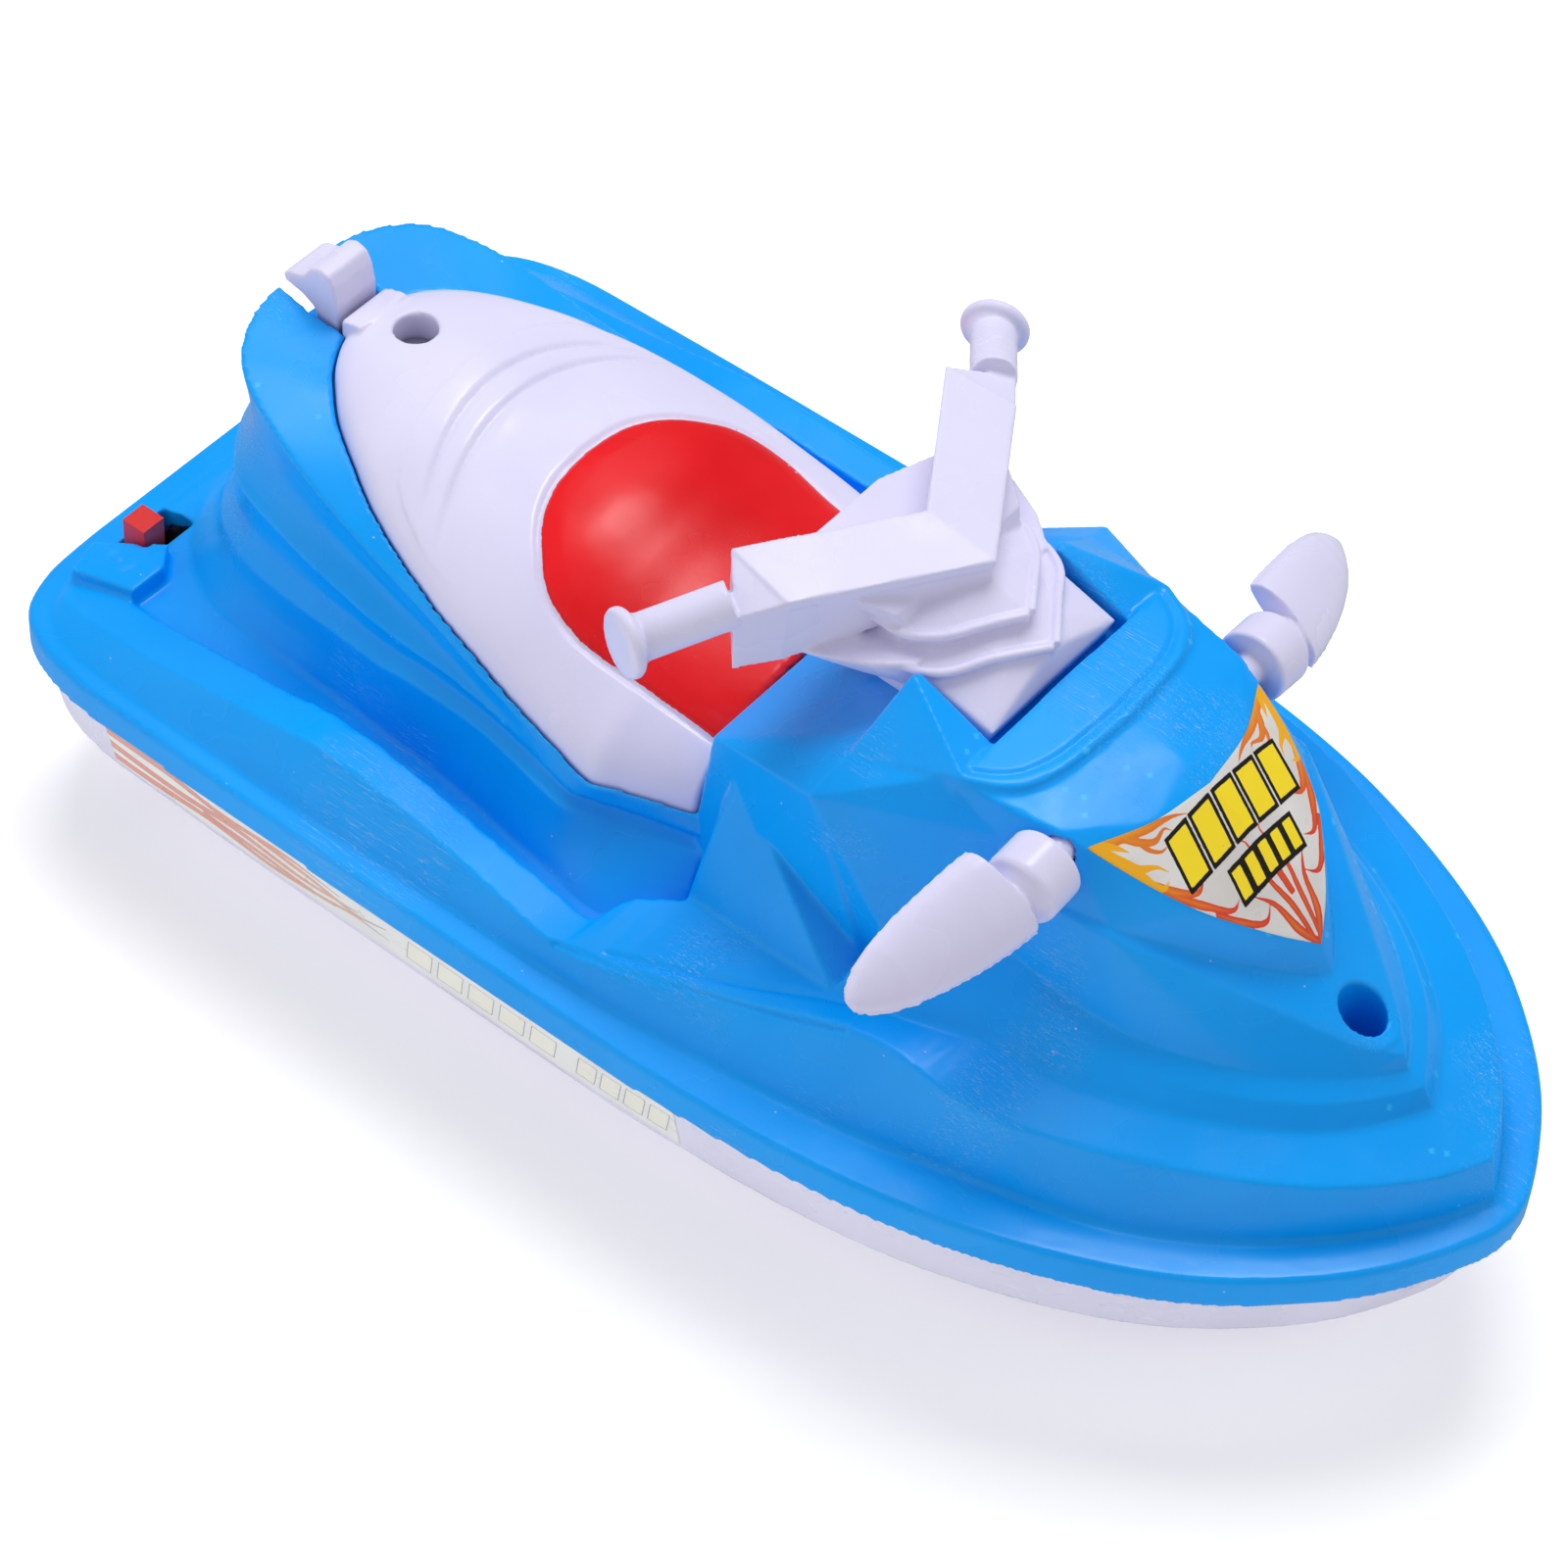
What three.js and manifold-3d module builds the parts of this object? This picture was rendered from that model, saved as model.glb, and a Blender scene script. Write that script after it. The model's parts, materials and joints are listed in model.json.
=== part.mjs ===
// Battery-driven toy jet-ski boat: blue top deck on a white hull, white seat
// cover over the battery bay, white handlebar moulding, two plug-in mirrors,
// red slide switch, and the motor, shaft and propeller inside the hull.
// Units mm. +X is the bow, +Y is port (left), +Z is up. The deck frame has z = 0
// at the parting line between hull and deck; the whole group is raised by
// HULL_DEPTH so that z = 0 of the export is the flat of the keel.
import * as THREE from 'three';
import { mergeVertices } from 'three/addons/utils/BufferGeometryUtils.js';
import { ConvexGeometry } from 'three/addons/geometries/ConvexGeometry.js';
import Module from 'manifold-3d';

const wasm = await Module();
wasm.setup();

// ---------------------------------------------------------------- dimensions
const LENGTH = 220;          // stern to bow over the rim
const HALF_BEAM = 55.4;      // half width over the rim
const HULL_DEPTH = 25;       // parting line to keel flat
const RIM_HEIGHT = 5.1;      // height of the blue rim band
const FOOT_Z = 5.6;          // foot of the side tier above the rim
const WALL = 2.2;            // shell thickness of the thinner deck blocks
const THICK_WALL = 2.6;      // shell thickness of the console and hood
const GAP = 0.3;             // clearance between hull rim and deck
const FLOOR_Z = 7;           // footwell floor
const ABOVE_DECK = 60;       // top of the cuts that open upwards

const SHAFT_Z = -14.5;       // propeller shaft height
const MOTOR_X = -40;         // middle of the motor can
const PROP_X = -92;          // middle of the propeller
const PROP_RADIUS = 9.3;     // propeller tip radius
const STRAP_SCREW_Y = 14.5;  // motor strap screws, either side of the centreline

const SCREW_BORE = 1.75;     // radius of the holes for the deck, hull and seat screws
const SEAT_HOLE = { x: -77.6, radius: 3.15 };
const BOW_HOLE = { x: 82, radius: 3.35 };
// deck boss radius, top and bore top; hull boss radius and foot
const STERN_SCREWS = [
  { side: 'left', x: -97, y: 40.5,
    deckRadius: 3.6, deckTop: 6.6, boreTop: 5.4, hullRadius: 3.4, hullFoot: -16 },
  { side: 'right', x: -90, y: -44.5,
    deckRadius: 3.2, deckTop: 7, boreTop: 5.6, hullRadius: 3.2, hullFoot: -14.6 },
];

const BATTERY = { radius: 7.25, length: 49.2, x: -45, y: 7.7, z: 11.2 };
const BAY = { x0: -72, x1: -17, halfWidth: 17.6, z0: 1.6, z1: 19, wall: 1.6, floor: 1.8 };
const CONTACT_THICKNESS = 0.4;
const FRONT_CONTACT_X = -19.4;                                  // aft face of the front contacts
const SLOT = { x0: -105.4, x1: -99.4, y0: -32.0, y1: -22.4 };   // switch slot
const KNOB = 4.0;                                               // switch knob side
const TONGUE = { x0: 6.8, x1: 15.2, halfWidth: 4.9 };           // under the handlebar base
const TONGUE_CLEARANCE = 0.4;
const CONSOLE_CLEARANCE = 0.35;                                 // handlebar above the deck

const MIRROR_ROOT = [46.1, 21.7, 45.2];   // middle of the collar's inner face, port side
const MIRROR_DROOP = 0.087;               // downward tilt of the mirror stems, radians
const BLADE_TURN = 0.997;                 // turn of the mirror blade about its stem, radians

// ------------------------------------------------------------- solid helpers
function solid(geometry, matrix) {
  if (matrix) geometry.applyMatrix4(matrix);
  for (const name of Object.keys(geometry.attributes)) {
    if (name !== 'position') geometry.deleteAttribute(name);
  }
  const merged = mergeVertices(geometry, 1e-5);
  const index = merged.index.array;
  const p = merged.attributes.position.array;
  const triangles = [];
  let volume = 0;
  for (let i = 0; i < index.length; i += 3) {
    const [i0, i1, i2] = [index[i], index[i + 1], index[i + 2]];
    if (i0 === i1 || i1 === i2 || i0 === i2) continue;
    triangles.push(i0, i1, i2);
    const [a, b, c] = [i0 * 3, i1 * 3, i2 * 3];
    volume += p[a] * (p[b + 1] * p[c + 2] - p[b + 2] * p[c + 1])
      - p[a + 1] * (p[b] * p[c + 2] - p[b + 2] * p[c])
      + p[a + 2] * (p[b] * p[c + 1] - p[b + 1] * p[c]);
  }
  // turn an inside-out mesh the right way round
  if (volume < 0) {
    for (let i = 0; i < triangles.length; i += 3) {
      [triangles[i + 1], triangles[i + 2]] = [triangles[i + 2], triangles[i + 1]];
    }
  }
  return new wasm.Manifold(new wasm.Mesh({
    numProp: 3,
    vertProperties: new Float32Array(p),
    triVerts: new Uint32Array(triangles),
  }));
}

function solidFrom(positions, triangles) {
  const geometry = new THREE.BufferGeometry();
  geometry.setAttribute('position', new THREE.Float32BufferAttribute(positions, 3));
  geometry.setIndex(triangles);
  return solid(geometry);
}

function toGeometry(manifold) {
  const mesh = manifold.getMesh();
  const geometry = new THREE.BufferGeometry();
  geometry.setAttribute('position', new THREE.Float32BufferAttribute(mesh.vertProperties, 3));
  geometry.setIndex(Array.from(mesh.triVerts));
  return geometry;
}

// the largest connected body; loose slivers are dropped
function mainBody(manifold) {
  return manifold.decompose().reduce((best, part) => (part.volume() > best.volume() ? part : best));
}

const pose = (x = 0, y = 0, z = 0, rx = 0, ry = 0, rz = 0) =>
  new THREE.Matrix4().makeRotationFromEuler(new THREE.Euler(rx, ry, rz)).setPosition(x, y, z);
const moved = (manifold, matrix) => solid(toGeometry(manifold), matrix);
const mirrored = (manifold) => manifold.mirror([0, 1, 0]);
const union = (...solids) => solids.reduce((a, b) => a.add(b));

function box(x0, x1, y0, y1, z0, z1) {
  const centre = pose((x0 + x1) / 2, (y0 + y1) / 2, (z0 + z1) / 2);
  return solid(new THREE.BoxGeometry(x1 - x0, y1 - y0, z1 - z0), centre);
}

// upright cylinder
function cylZ(x, y, z0, z1, radius, segments) {
  const geometry = new THREE.CylinderGeometry(radius, radius, z1 - z0, segments);
  return solid(geometry, pose(x, y, (z0 + z1) / 2, Math.PI / 2));
}

// fore-and-aft cylinder
function cylX(x0, x1, y, z, radius, segments) {
  const geometry = new THREE.CylinderGeometry(radius, radius, x1 - x0, segments);
  return solid(geometry, pose((x0 + x1) / 2, y, z, 0, 0, Math.PI / 2));
}

// cone or cylinder between two points
function rod(from, to, radius, segments = 16, endRadius = radius) {
  const axis = to.clone().sub(from);
  const geometry = new THREE.CylinderGeometry(endRadius, radius, axis.length(), segments);
  const turn = new THREE.Quaternion()
    .setFromUnitVectors(new THREE.Vector3(0, 1, 0), axis.normalize());
  const centre = from.clone().add(to).multiplyScalar(0.5);
  return solid(geometry, new THREE.Matrix4().makeRotationFromQuaternion(turn).setPosition(centre));
}

// round wire swept along a smooth curve through the points
function sweep(points, radius, sides, steps) {
  const section = new THREE.Shape();
  section.moveTo(radius, 0);
  for (let i = 1; i < sides; i++) {
    const angle = i / sides * Math.PI * 2;
    section.lineTo(radius * Math.cos(angle), radius * Math.sin(angle));
  }
  const extrudePath = new THREE.CatmullRomCurve3(points.map((p) => new THREE.Vector3(...p)));
  return solid(new THREE.ExtrudeGeometry(section, { steps, extrudePath }));
}

const shapeOf = (outline) => new THREE.Shape(outline.map(([x, y]) => new THREE.Vector2(x, y)));

const flipY = (points) => points.map(([x, y, z]) => [x, -y, z]);
const withMirror = (points) => points.concat(flipY(points.filter((p) => Math.abs(p[1]) > 1e-6)));
const convex = (points) =>
  solid(new ConvexGeometry(points.map((p) => new THREE.Vector3(...p))));
const convexPair = (points) => [convex(points), convex(flipY(points))];

// ------------------------------------------------- half-plan curves and rings
// A half-plan curve or half ring is a list of [x, y >= 0, z] from stern to bow.
function atZ(curve, z) {
  return curve.map(([x, y]) => [x, y, z]);
}
const raised = (curve, rise) => curve.map(([x, y, z]) => [x, y, z + rise]);
const lerp = (a, b, t) => a.map((value, i) => value + t * (b[i] - value));

function pointAtX(curve, x) {
  let i = 1;
  while (i < curve.length - 1 && curve[i][0] < x) i++;
  return lerp(curve[i - 1], curve[i], (x - curve[i - 1][0]) / (curve[i][0] - curve[i - 1][0]));
}

// distance along the curve at each of its points
function pathLengths(curve) {
  const lengths = [0];
  for (let i = 1; i < curve.length; i++) {
    const [x, y, z] = curve[i].map((value, axis) => value - curve[i - 1][axis]);
    lengths.push(lengths[i - 1] + Math.hypot(x, y, z));
  }
  return lengths;
}

function pointAtLength(curve, lengths, length) {
  let i = 1;
  while (i < lengths.length - 1 && lengths[i] < length) i++;
  const t = (length - lengths[i - 1]) / (lengths[i] - lengths[i - 1]);
  return lerp(curve[i - 1], curve[i], t);
}

function resample(curve, count) {
  const lengths = pathLengths(curve);
  return Array.from({ length: count }, (_, k) =>
    pointAtLength(curve, lengths, lengths.at(-1) * k / (count - 1)));
}

// half ring sampled at shared stations along the boat, so that neighbouring rings of a
// loft line up; bowFractions divide the length of curve beyond the last station
function stationRing(curve, sternCount, stations, bowFractions) {
  const first = stations[0];
  const last = stations.at(-1);
  const sternPart = [...curve.filter((p) => p[0] < first), pointAtX(curve, first)];
  const bowPart = [pointAtX(curve, last), ...curve.filter((p) => p[0] > last)];
  const lengths = pathLengths(bowPart);
  return [
    ...resample(sternPart, sternCount + 1).slice(0, -1),
    ...stations.map((x) => pointAtX(curve, x)),
    ...bowFractions.map((f) => pointAtLength(bowPart, lengths, f * lengths.at(-1))),
  ];
}

// move a half ring inwards along its own plan normal
function inset(curve, distance) {
  const last = curve.length - 1;
  return curve.map((p, i) => {
    const before = curve[Math.max(i - 1, 0)];
    const after = curve[Math.min(i + 1, last)];
    let tx = after[0] - before[0];
    let ty = after[1] - before[1];
    // an end on the centreline runs straight across the boat
    if ((i === 0 || i === last) && p[1] < 1e-6) {
      tx = 0;
      ty = i === 0 ? 1 : -1;
    }
    const length = Math.hypot(tx, ty) || 1;
    return [p[0] + distance * ty / length, Math.max(p[1] - distance * tx / length, 0), p[2]];
  });
}

// closed solid lofted through mirrored half rings, capped across with transverse strips
function ringSolid(rings) {
  const positions = [];
  const triangles = [];
  const count = rings[0].length;
  const top = rings.length - 1;
  for (const [x, y, z] of rings.flat()) {
    positions.push(x, -Math.max(y, 0), z, x, Math.max(y, 0), z);
  }
  const starboard = (ring, i) => (ring * count + i) * 2;
  const port = (ring, i) => starboard(ring, i) + 1;
  const quad = (a, b, c, d) => triangles.push(a, b, c, a, c, d);
  for (let k = 0; k < top; k++) {
    for (let i = 0; i < count - 1; i++) {
      quad(starboard(k, i), starboard(k, i + 1), starboard(k + 1, i + 1), starboard(k + 1, i));
      quad(port(k, i + 1), port(k, i), port(k + 1, i), port(k + 1, i + 1));
    }
    const bow = count - 1;
    quad(port(k, 0), starboard(k, 0), starboard(k + 1, 0), port(k + 1, 0));
    quad(starboard(k, bow), port(k, bow), port(k + 1, bow), starboard(k + 1, bow));
  }
  for (let i = 0; i < count - 1; i++) {
    quad(port(0, i), port(0, i + 1), starboard(0, i + 1), starboard(0, i));
    quad(starboard(top, i), starboard(top, i + 1), port(top, i + 1), port(top, i));
  }
  return solidFrom(positions, triangles);
}

// ------------------------------------------- deck feature curves: [x, y, z]
// widest line of the boat, at the parting line
const RIM = atZ([
  [-110, 0], [-110, 30], [-109.6, 39.5], [-108.7, 43.8], [-107, 47.8], [-103.9, 50.7],
  [-100.1, 52.5], [-96, 53.6], [-90, 54.4], [-75, 54.8], [-60, 55.1], [-30, 55.3], [0, 55.4],
  [25, 54.2], [38, 52.6], [50, 50.2], [60, 47.1], [70, 43.1], [78, 39.1], [85, 34.6],
  [91, 29.6], [97, 23.6], [101.5, 18.1], [105, 12.4], [108, 6.4], [110, 0],
], 0);
// where the side tier rises from the rim band
const TIER_FOOT = atZ([
  [-106.3, 0], [-106.3, 38], [-105.2, 44], [-102.6, 47.9], [-99, 49.9], [-94, 51],
  [-87, 51.5], [-78, 51.7], [-60, 51.7], [-34, 51.5], [-16, 51.2], [0, 50.6], [15, 49],
  [35, 46], [54, 41.2], [64.2, 38.4], [73.2, 34.6], [85, 26.8], [95.3, 16.6], [102.3, 6.8],
  [105.7, 0],
], FOOT_Z);
// outer top edge of the side tier
const TIER_EDGE = [
  [-105.5, 0, 6], [-105.5, 36, 6], [-104.6, 41.5, 6.4], [-102.5, 45.2, 7.2], [-96, 46.3, 8],
  [-90, 46.7, 8.7], [-84, 47, 9.3], [-72, 46.8, 10.9], [-60, 46.9, 12.9], [-54, 46.8, 13.7],
  [-48, 47, 13.7], [-42, 47.2, 13.3], [-36, 47.4, 12.6], [-28, 48, 11.8], [-20, 48.8, 10.9],
  [-12, 49.6, 10.2], [-6.4, 49.4, 10.4], [3.4, 47.6, 12], [16, 44.6, 14.8],
  [31.5, 41.2, 18.5], [38, 40.4, 18.8], [45, 40.4, 17.8], [52, 39.6, 16.5], [61.3, 36.4, 16],
  [70.2, 32.2, 15.5], [80.2, 26.8, 15], [90, 19.7, 14.2], [97.2, 12.1, 13.6],
  [101, 6.6, 13.1], [104.1, 0, 12.7],
];
// inner top edge of the side tier
const TIER_INNER = [
  [-104.5, 0, 6], [-104.5, 34, 6], [-103.8, 38, 6.3], [-101.8, 41.2, 7], [-96, 41.2, 8],
  [-88, 41, 8.9], [-77, 40.8, 10.2], [-65, 41.1, 12.1], [-57, 40.8, 13.2], [-48, 41.2, 13.7],
  [-36, 41.8, 12.6], [-25, 42.6, 11.5], [-15, 43.2, 10.5], [-9, 43.8, 10.1],
  [-6.2, 38.7, 12], [-2.7, 36, 12.5], [0.5, 34.2, 13], [6.6, 34.8, 14], [15.5, 35.8, 15.6],
  [26, 37.2, 17.6], [36, 35, 18.6], [46.5, 31, 18.5], [56.1, 29.8, 18], [65.7, 26.6, 17.5],
  [74.5, 22.3, 17], [84.1, 15.4, 16.2], [89.2, 9.9, 15.7], [94.6, 0, 15],
];
// footwell outline at its floor and at its mouth: [x, y]
const WELL_FLOOR = [
  [-104, 0], [-104, 33], [-102.4, 37.5], [-99, 39.4], [-88, 40.4], [-77, 40.3], [-65, 40.5],
  [-57, 40.2], [-48, 40.6], [-36, 41.2], [-25, 42], [-15, 42.6], [-9.6, 43.2], [-6.6, 38.4],
  [-3, 35.6], [-0.2, 33.6],
];
const WELL_MOUTH = [
  [-104.6, 0], [-104.6, 34], [-103.2, 38.6], [-100.8, 41.2], [-88, 41], [-77, 40.8],
  [-65, 41.1], [-57, 40.8], [-48, 41.2], [-36, 41.8], [-25, 42.6], [-15, 43.2], [-9, 43.8],
  [-6.2, 38.7], [-2.7, 36], [0.5, 34.2],
];
// tail under the seat, from the footwell floor up to the seat
const TAIL_FOOT = atZ([
  [-103.5, 0], [-103, 10], [-101.5, 18], [-99.3, 22.6], [-93.9, 28.6], [-88.5, 31.6],
  [-83, 33], [-75, 33.6], [-62, 34], [-47.7, 34.8], [-35.6, 36.2], [-28.5, 37.4],
  [-20, 38.6], [-11.3, 40.1], [-4, 36.4], [-1, 33.2],
], FLOOR_Z);
const TAIL_LEDGE = [
  [-101, 0, 12], [-100.5, 9, 12], [-98.5, 16, 12.3], [-93.2, 23.3, 13], [-86, 27.5, 13.8],
  [-79.6, 29.4, 14.5], [-72, 30.4, 15], [-64, 31.2, 15.6], [-56.4, 32, 16],
  [-49.5, 32.3, 17], [-41.3, 32.3, 17], [-32.3, 33.2, 16.6], [-25.7, 34.3, 16.2],
  [-22.2, 34.5, 15.5], [-18, 32.6, 14.6], [-14, 30.8, 14], [-6, 28.6, 14], [-3.1, 28, 14],
];
const TAIL_FLUTE = [
  [-99.5, 0, 24], [-99, 8, 24], [-97.3, 14, 23.5], [-93.5, 20, 23], [-89.7, 23.6, 22.7],
  [-86, 25.2, 22.7], [-79.5, 27.1, 23], [-71.7, 28.7, 22.5], [-65.3, 29.5, 22],
  [-59.7, 30.2, 21.5], [-53, 30.8, 21.5], [-47.5, 31, 21.7], [-39, 31.5, 21],
  [-30, 32.3, 19.6], [-22, 33.2, 17.6], [-19, 32.2, 17], [-14, 30.2, 16.6], [-4, 27.4, 16.5],
];
const TAIL_TOP = [
  [-98.7, 0, 41.2], [-98.3, 6, 41], [-97, 12, 40.8], [-95, 16, 40.3], [-93, 18.5, 39.9],
  [-90, 20.7, 39.1], [-87, 22.1, 38.3], [-84, 23.2, 37.5], [-81, 24.1, 36.5],
  [-78, 24.9, 35.4], [-70.5, 26.2, 32.9], [-62, 27.5, 30.6], [-54, 28.6, 28.8],
  [-46, 29.9, 27], [-39, 30.9, 25.3], [-33, 31.4, 23.7], [-27, 31.9, 22.3],
  [-19.5, 32.4, 19.9], [-14, 30, 19.5], [-4.6, 26.4, 18.9],
];
const SEAT_EDGE = [
  [-87, 0, 38.9], [-86.3, 5, 38.6], [-84, 9.8, 38.1], [-81, 13.1, 37.5], [-78, 15.8, 36.5],
  [-75, 17.8, 35.9], [-72, 19.5, 35.2], [-66, 22.7, 33.4], [-60, 25, 31.7],
  [-54, 26.9, 30.3], [-48, 28.4, 28.7], [-42, 29.4, 27.1], [-36, 30.3, 25], [-30, 31, 23.2],
  [-25, 31.5, 21.7], [-19.8, 31.8, 20], [-15, 29.9, 19.6], [-5.5, 26.2, 19],
];
// opening over the battery bay: [x, y]
const BATTERY_OPENING = [
  [-71, 0], [-71, 16], [-66, 19.4], [-54, 23.6], [-42, 26.2], [-30, 27.8], [-20.5, 28.4],
  [-15, 26.2], [-8.6, 23.4], [-8.6, 0],
];

// ------------------------------- corner points of the convex deck blocks: [x, y, z]
const HOOD_FRONT = [
  [56, 20.5, 38.3], [61.5, 15.8, 34.5], [69.2, 9.4, 30.4], [74.7, 4.3, 27], [78.2, 0, 25.2],
];
const BROW = [
  [32.3, 22.1, 50.6], [36.4, 20, 50.4], [39.3, 17, 50.6], [41.2, 10.6, 51], [42, 0, 51.2],
];
const CONSOLE = withMirror([
  [-4.4, 25, 33.9], [-5.3, 26.3, 19], [-5.3, 27.6, 5], [16.2, 31.6, 43.5], [17.2, 25.4, 46.7],
  [17, 21.9, 47.1], [30, 30.5, 6], [31, 14, 46.6], [31, 20, 46.6],
]);
// port fin beside the handlebar
const FIN = [
  [17.2, 25.4, 46.7], [17, 21.9, 47.3], [19, 15.6, 54.9], [19.4, 14.4, 54.7], [31, 14.2, 49.9],
  [32.3, 22.1, 50.6], [17.2, 14.6, 44], [31, 14.2, 44], [31.5, 24, 44], [18, 25.5, 44],
];
const GUSSET = [
  [1.2, 26.8, 33.2], [-0.4, 33.8, 13], [-0.4, 33.8, 6], [-0.4, 24, 33], [-0.4, 24, 6],
  [26, 37.2, 17.6], [26, 37.2, 6], [27, 30, 19.4], [27, 24, 19.4], [27, 24, 6],
];
const FLANK = [
  [17.2, 25.4, 46.7], [16.2, 31.6, 43.3], [28.4, 30.8, 26], [27, 30, 19], [31.6, 21.5, 50.2],
  [43.7, 24.1, 27.5], [43.7, 20, 45], [18, 24, 20], [46, 18, 20], [45, 26, 19], [18, 24, 40],
];
const SHOULDER = [
  [28.4, 30.8, 26], [27, 30, 19.4], [26, 37.2, 17.6], [36, 35, 18.6], [46.5, 31, 18.5],
  [43.7, 24.1, 27.5], [45, 28.5, 22.6], [26, 24, 8], [48, 24, 8], [26, 37, 8], [46.5, 31, 8],
];
const LOWER_FOREDECK = withMirror([
  // inner edge of the ledge
  [43.7, 24.1, 27.5], [51, 24.2, 25], [59.5, 22.9, 23.5], [66.8, 20.6, 22.4],
  [75.4, 16.2, 21.3], [81, 11.9, 20.5], [86.1, 6.4, 19.8], [90.3, 0, 19.1],
  // outer edge of the ledge
  [45, 28.5, 22.6], [50.9, 27.4, 22.2], [59, 26.1, 21.5], [68.4, 22.7, 20.8],
  [76.9, 18, 20], [84.2, 12.1, 19.2], [88.9, 6.1, 18.5], [92.6, 0, 18],
  // bow end of the side tier, and the base
  ...TIER_INNER.slice(-7), [44, 20, 8], [90, 0, 8], [60, 20, 8],
]);
const UPPER_FOREDECK = withMirror([
  // top edge
  [56, 21.6, 38.3], [63, 17.8, 33.8], [71.8, 13, 29.5], [80, 7.5, 25.5], [84.3, 4.6, 23.7],
  [89.2, 0, 21.5], ...HOOD_FRONT,
  // foot, and the base
  [43.7, 24.1, 27.5], [51, 23.9, 25], [59.5, 22.6, 23.6], [66.8, 20.2, 22.5],
  [75.4, 15.9, 21.4], [81, 11.6, 20.6], [86.1, 6.1, 19.8], [89.9, 0, 19.2],
  [44, 20, 12], [80, 0, 12], [44, 22.8, 38.3],
]);
const HOOD = withMirror([
  ...raised(BROW, -0.9),
  // crowned face under the front sticker
  [49.2, 18.6, 47.2], [53.5, 8.8, 48], [54.8, 0, 48], [55.1, 16.8, 45], [59, 15.1, 43],
  [64.5, 12, 40.3], [68, 8.7, 37.8], [72, 4.2, 34.5], [74.7, 0, 31.5], [50, 0, 49.4],
  [60, 0, 44.8], [66, 0, 40.5], [71, 0, 36],
  // sides and base
  [45.6, 19.9, 48.6], [45, 22.4, 38.5], [56, 20.5, 38.3], ...HOOD_FRONT, [56.9, 14.9, 42],
  [32, 22.3, 30], [32, 22, 12], [76, 0, 12],
]);
const BROW_PLATE = withMirror([
  ...BROW, [31.9, 22.1, 50.6],
  ...BROW.map(([x, y, z]) => [x + 0.5, y + (y > 1 ? 0.3 : 0), z - 1.6]),
  [31.9, 22.3, 40], [31.9, 0, 51.4], [40, 0, 40],
]);
// block beside the switch slot on the stern platform
const SWITCH_WEDGE = [
  [-106.2, -35.6, 7.6], [-97.6, -29.5, 8.6], [-94.8, -39.6, 9], [-104.6, -41.2, 7.8],
  [-106.2, -35.6, 3], [-97.2, -29.3, 3], [-93.8, -40.6, 3], [-104.8, -42.4, 3],
];

// blocks shared by the deck and the underside of the handlebar moulding
const consoleBlock = convex(CONSOLE);
const fins = convexPair(FIN);
const hoodBlock = convex(HOOD);
const browPlate = convex(BROW_PLATE);

// ---------------------------------------------------------------- deck rings
const DECK_STATIONS = [
  -100, -91, -82, -73, -65, -57, -49, -41, -33, -25, -17, -9, -6.3, -3, 1, 7, 16, 26, 36, 46,
];
const deckRing = (curve) =>
  stationRing(curve, 6, DECK_STATIONS, [0.2, 0.4, 0.58, 0.74, 0.88, 1]);
const rimRing = deckRing(RIM);
const footRing = deckRing(TIER_FOOT);
const edgeRing = deckRing(TIER_EDGE);
const innerRing = deckRing(TIER_INNER);

const TAIL_STATIONS = [-70, -62, -54, -46, -39, -33, -27, -23];
const tailRing = (curve) => stationRing(curve, 11, TAIL_STATIONS, [0.2, 0.4, 0.65, 1]);
const tailFoot = tailRing(TAIL_FOOT);
const tailLedge = tailRing(TAIL_LEDGE);
const tailFlute = tailRing(TAIL_FLUTE);
const tailTop = tailRing(TAIL_TOP);
const seatRim = tailRing(SEAT_EDGE);

// ring halfway up the tail side, sunk into the surface aft of x = -50
function tailGroove() {
  return tailFlute.map((p, i) => {
    const [x, y, z] = p.map((value, axis) => (value + tailTop[i][axis]) / 2);
    if (x >= -50) return [x, y, z];
    return [x + (x < -95 ? 1.4 : 0), Math.max(y - (y > 3 ? 1.3 : 0), 0), z];
  });
}

// ---------------------------------------------------------------- deck shell
function deckOutside() {
  const rimBand = ringSolid([rimRing, raised(inset(rimRing, 0.4), RIM_HEIGHT), footRing]);
  const sideTier = ringSolid([atZ(footRing, 3), footRing, edgeRing, innerRing]);
  const well = ringSolid([atZ(WELL_FLOOR, FLOOR_Z), atZ(WELL_MOUTH, 14.2)]);
  const tail = ringSolid([
    atZ(tailFoot, 4), tailFoot, tailLedge, tailFlute, tailGroove(), tailTop, seatRim,
  ]);
  return union(
    rimBand, sideTier.subtract(well), tail, consoleBlock, ...fins,
    ...convexPair(GUSSET), ...convexPair(FLANK), ...convexPair(SHOULDER),
    convex(LOWER_FOREDECK), convex(UPPER_FOREDECK), hoodBlock, browPlate, convex(SWITCH_WEDGE),
  );
}

// corner points of a block's cavity: drawn in towards the block's middle, low points
// taken below the parting line
function cavityPoints(points, wall = WALL) {
  const [middleX, middleY] = [0, 1].map((axis) =>
    points.reduce((sum, p) => sum + p[axis], 0) / points.length);
  const towards = (middle, value, distance) => {
    const offset = value - middle;
    return middle + Math.sign(offset) * Math.max(Math.abs(offset) - distance, 0);
  };
  return points.map(([x, y, z]) => [
    towards(middleX, x, wall),
    towards(middleY, y, wall * 1.15),
    z > 14 ? z - wall * 1.25 : -1,
  ]);
}

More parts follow.
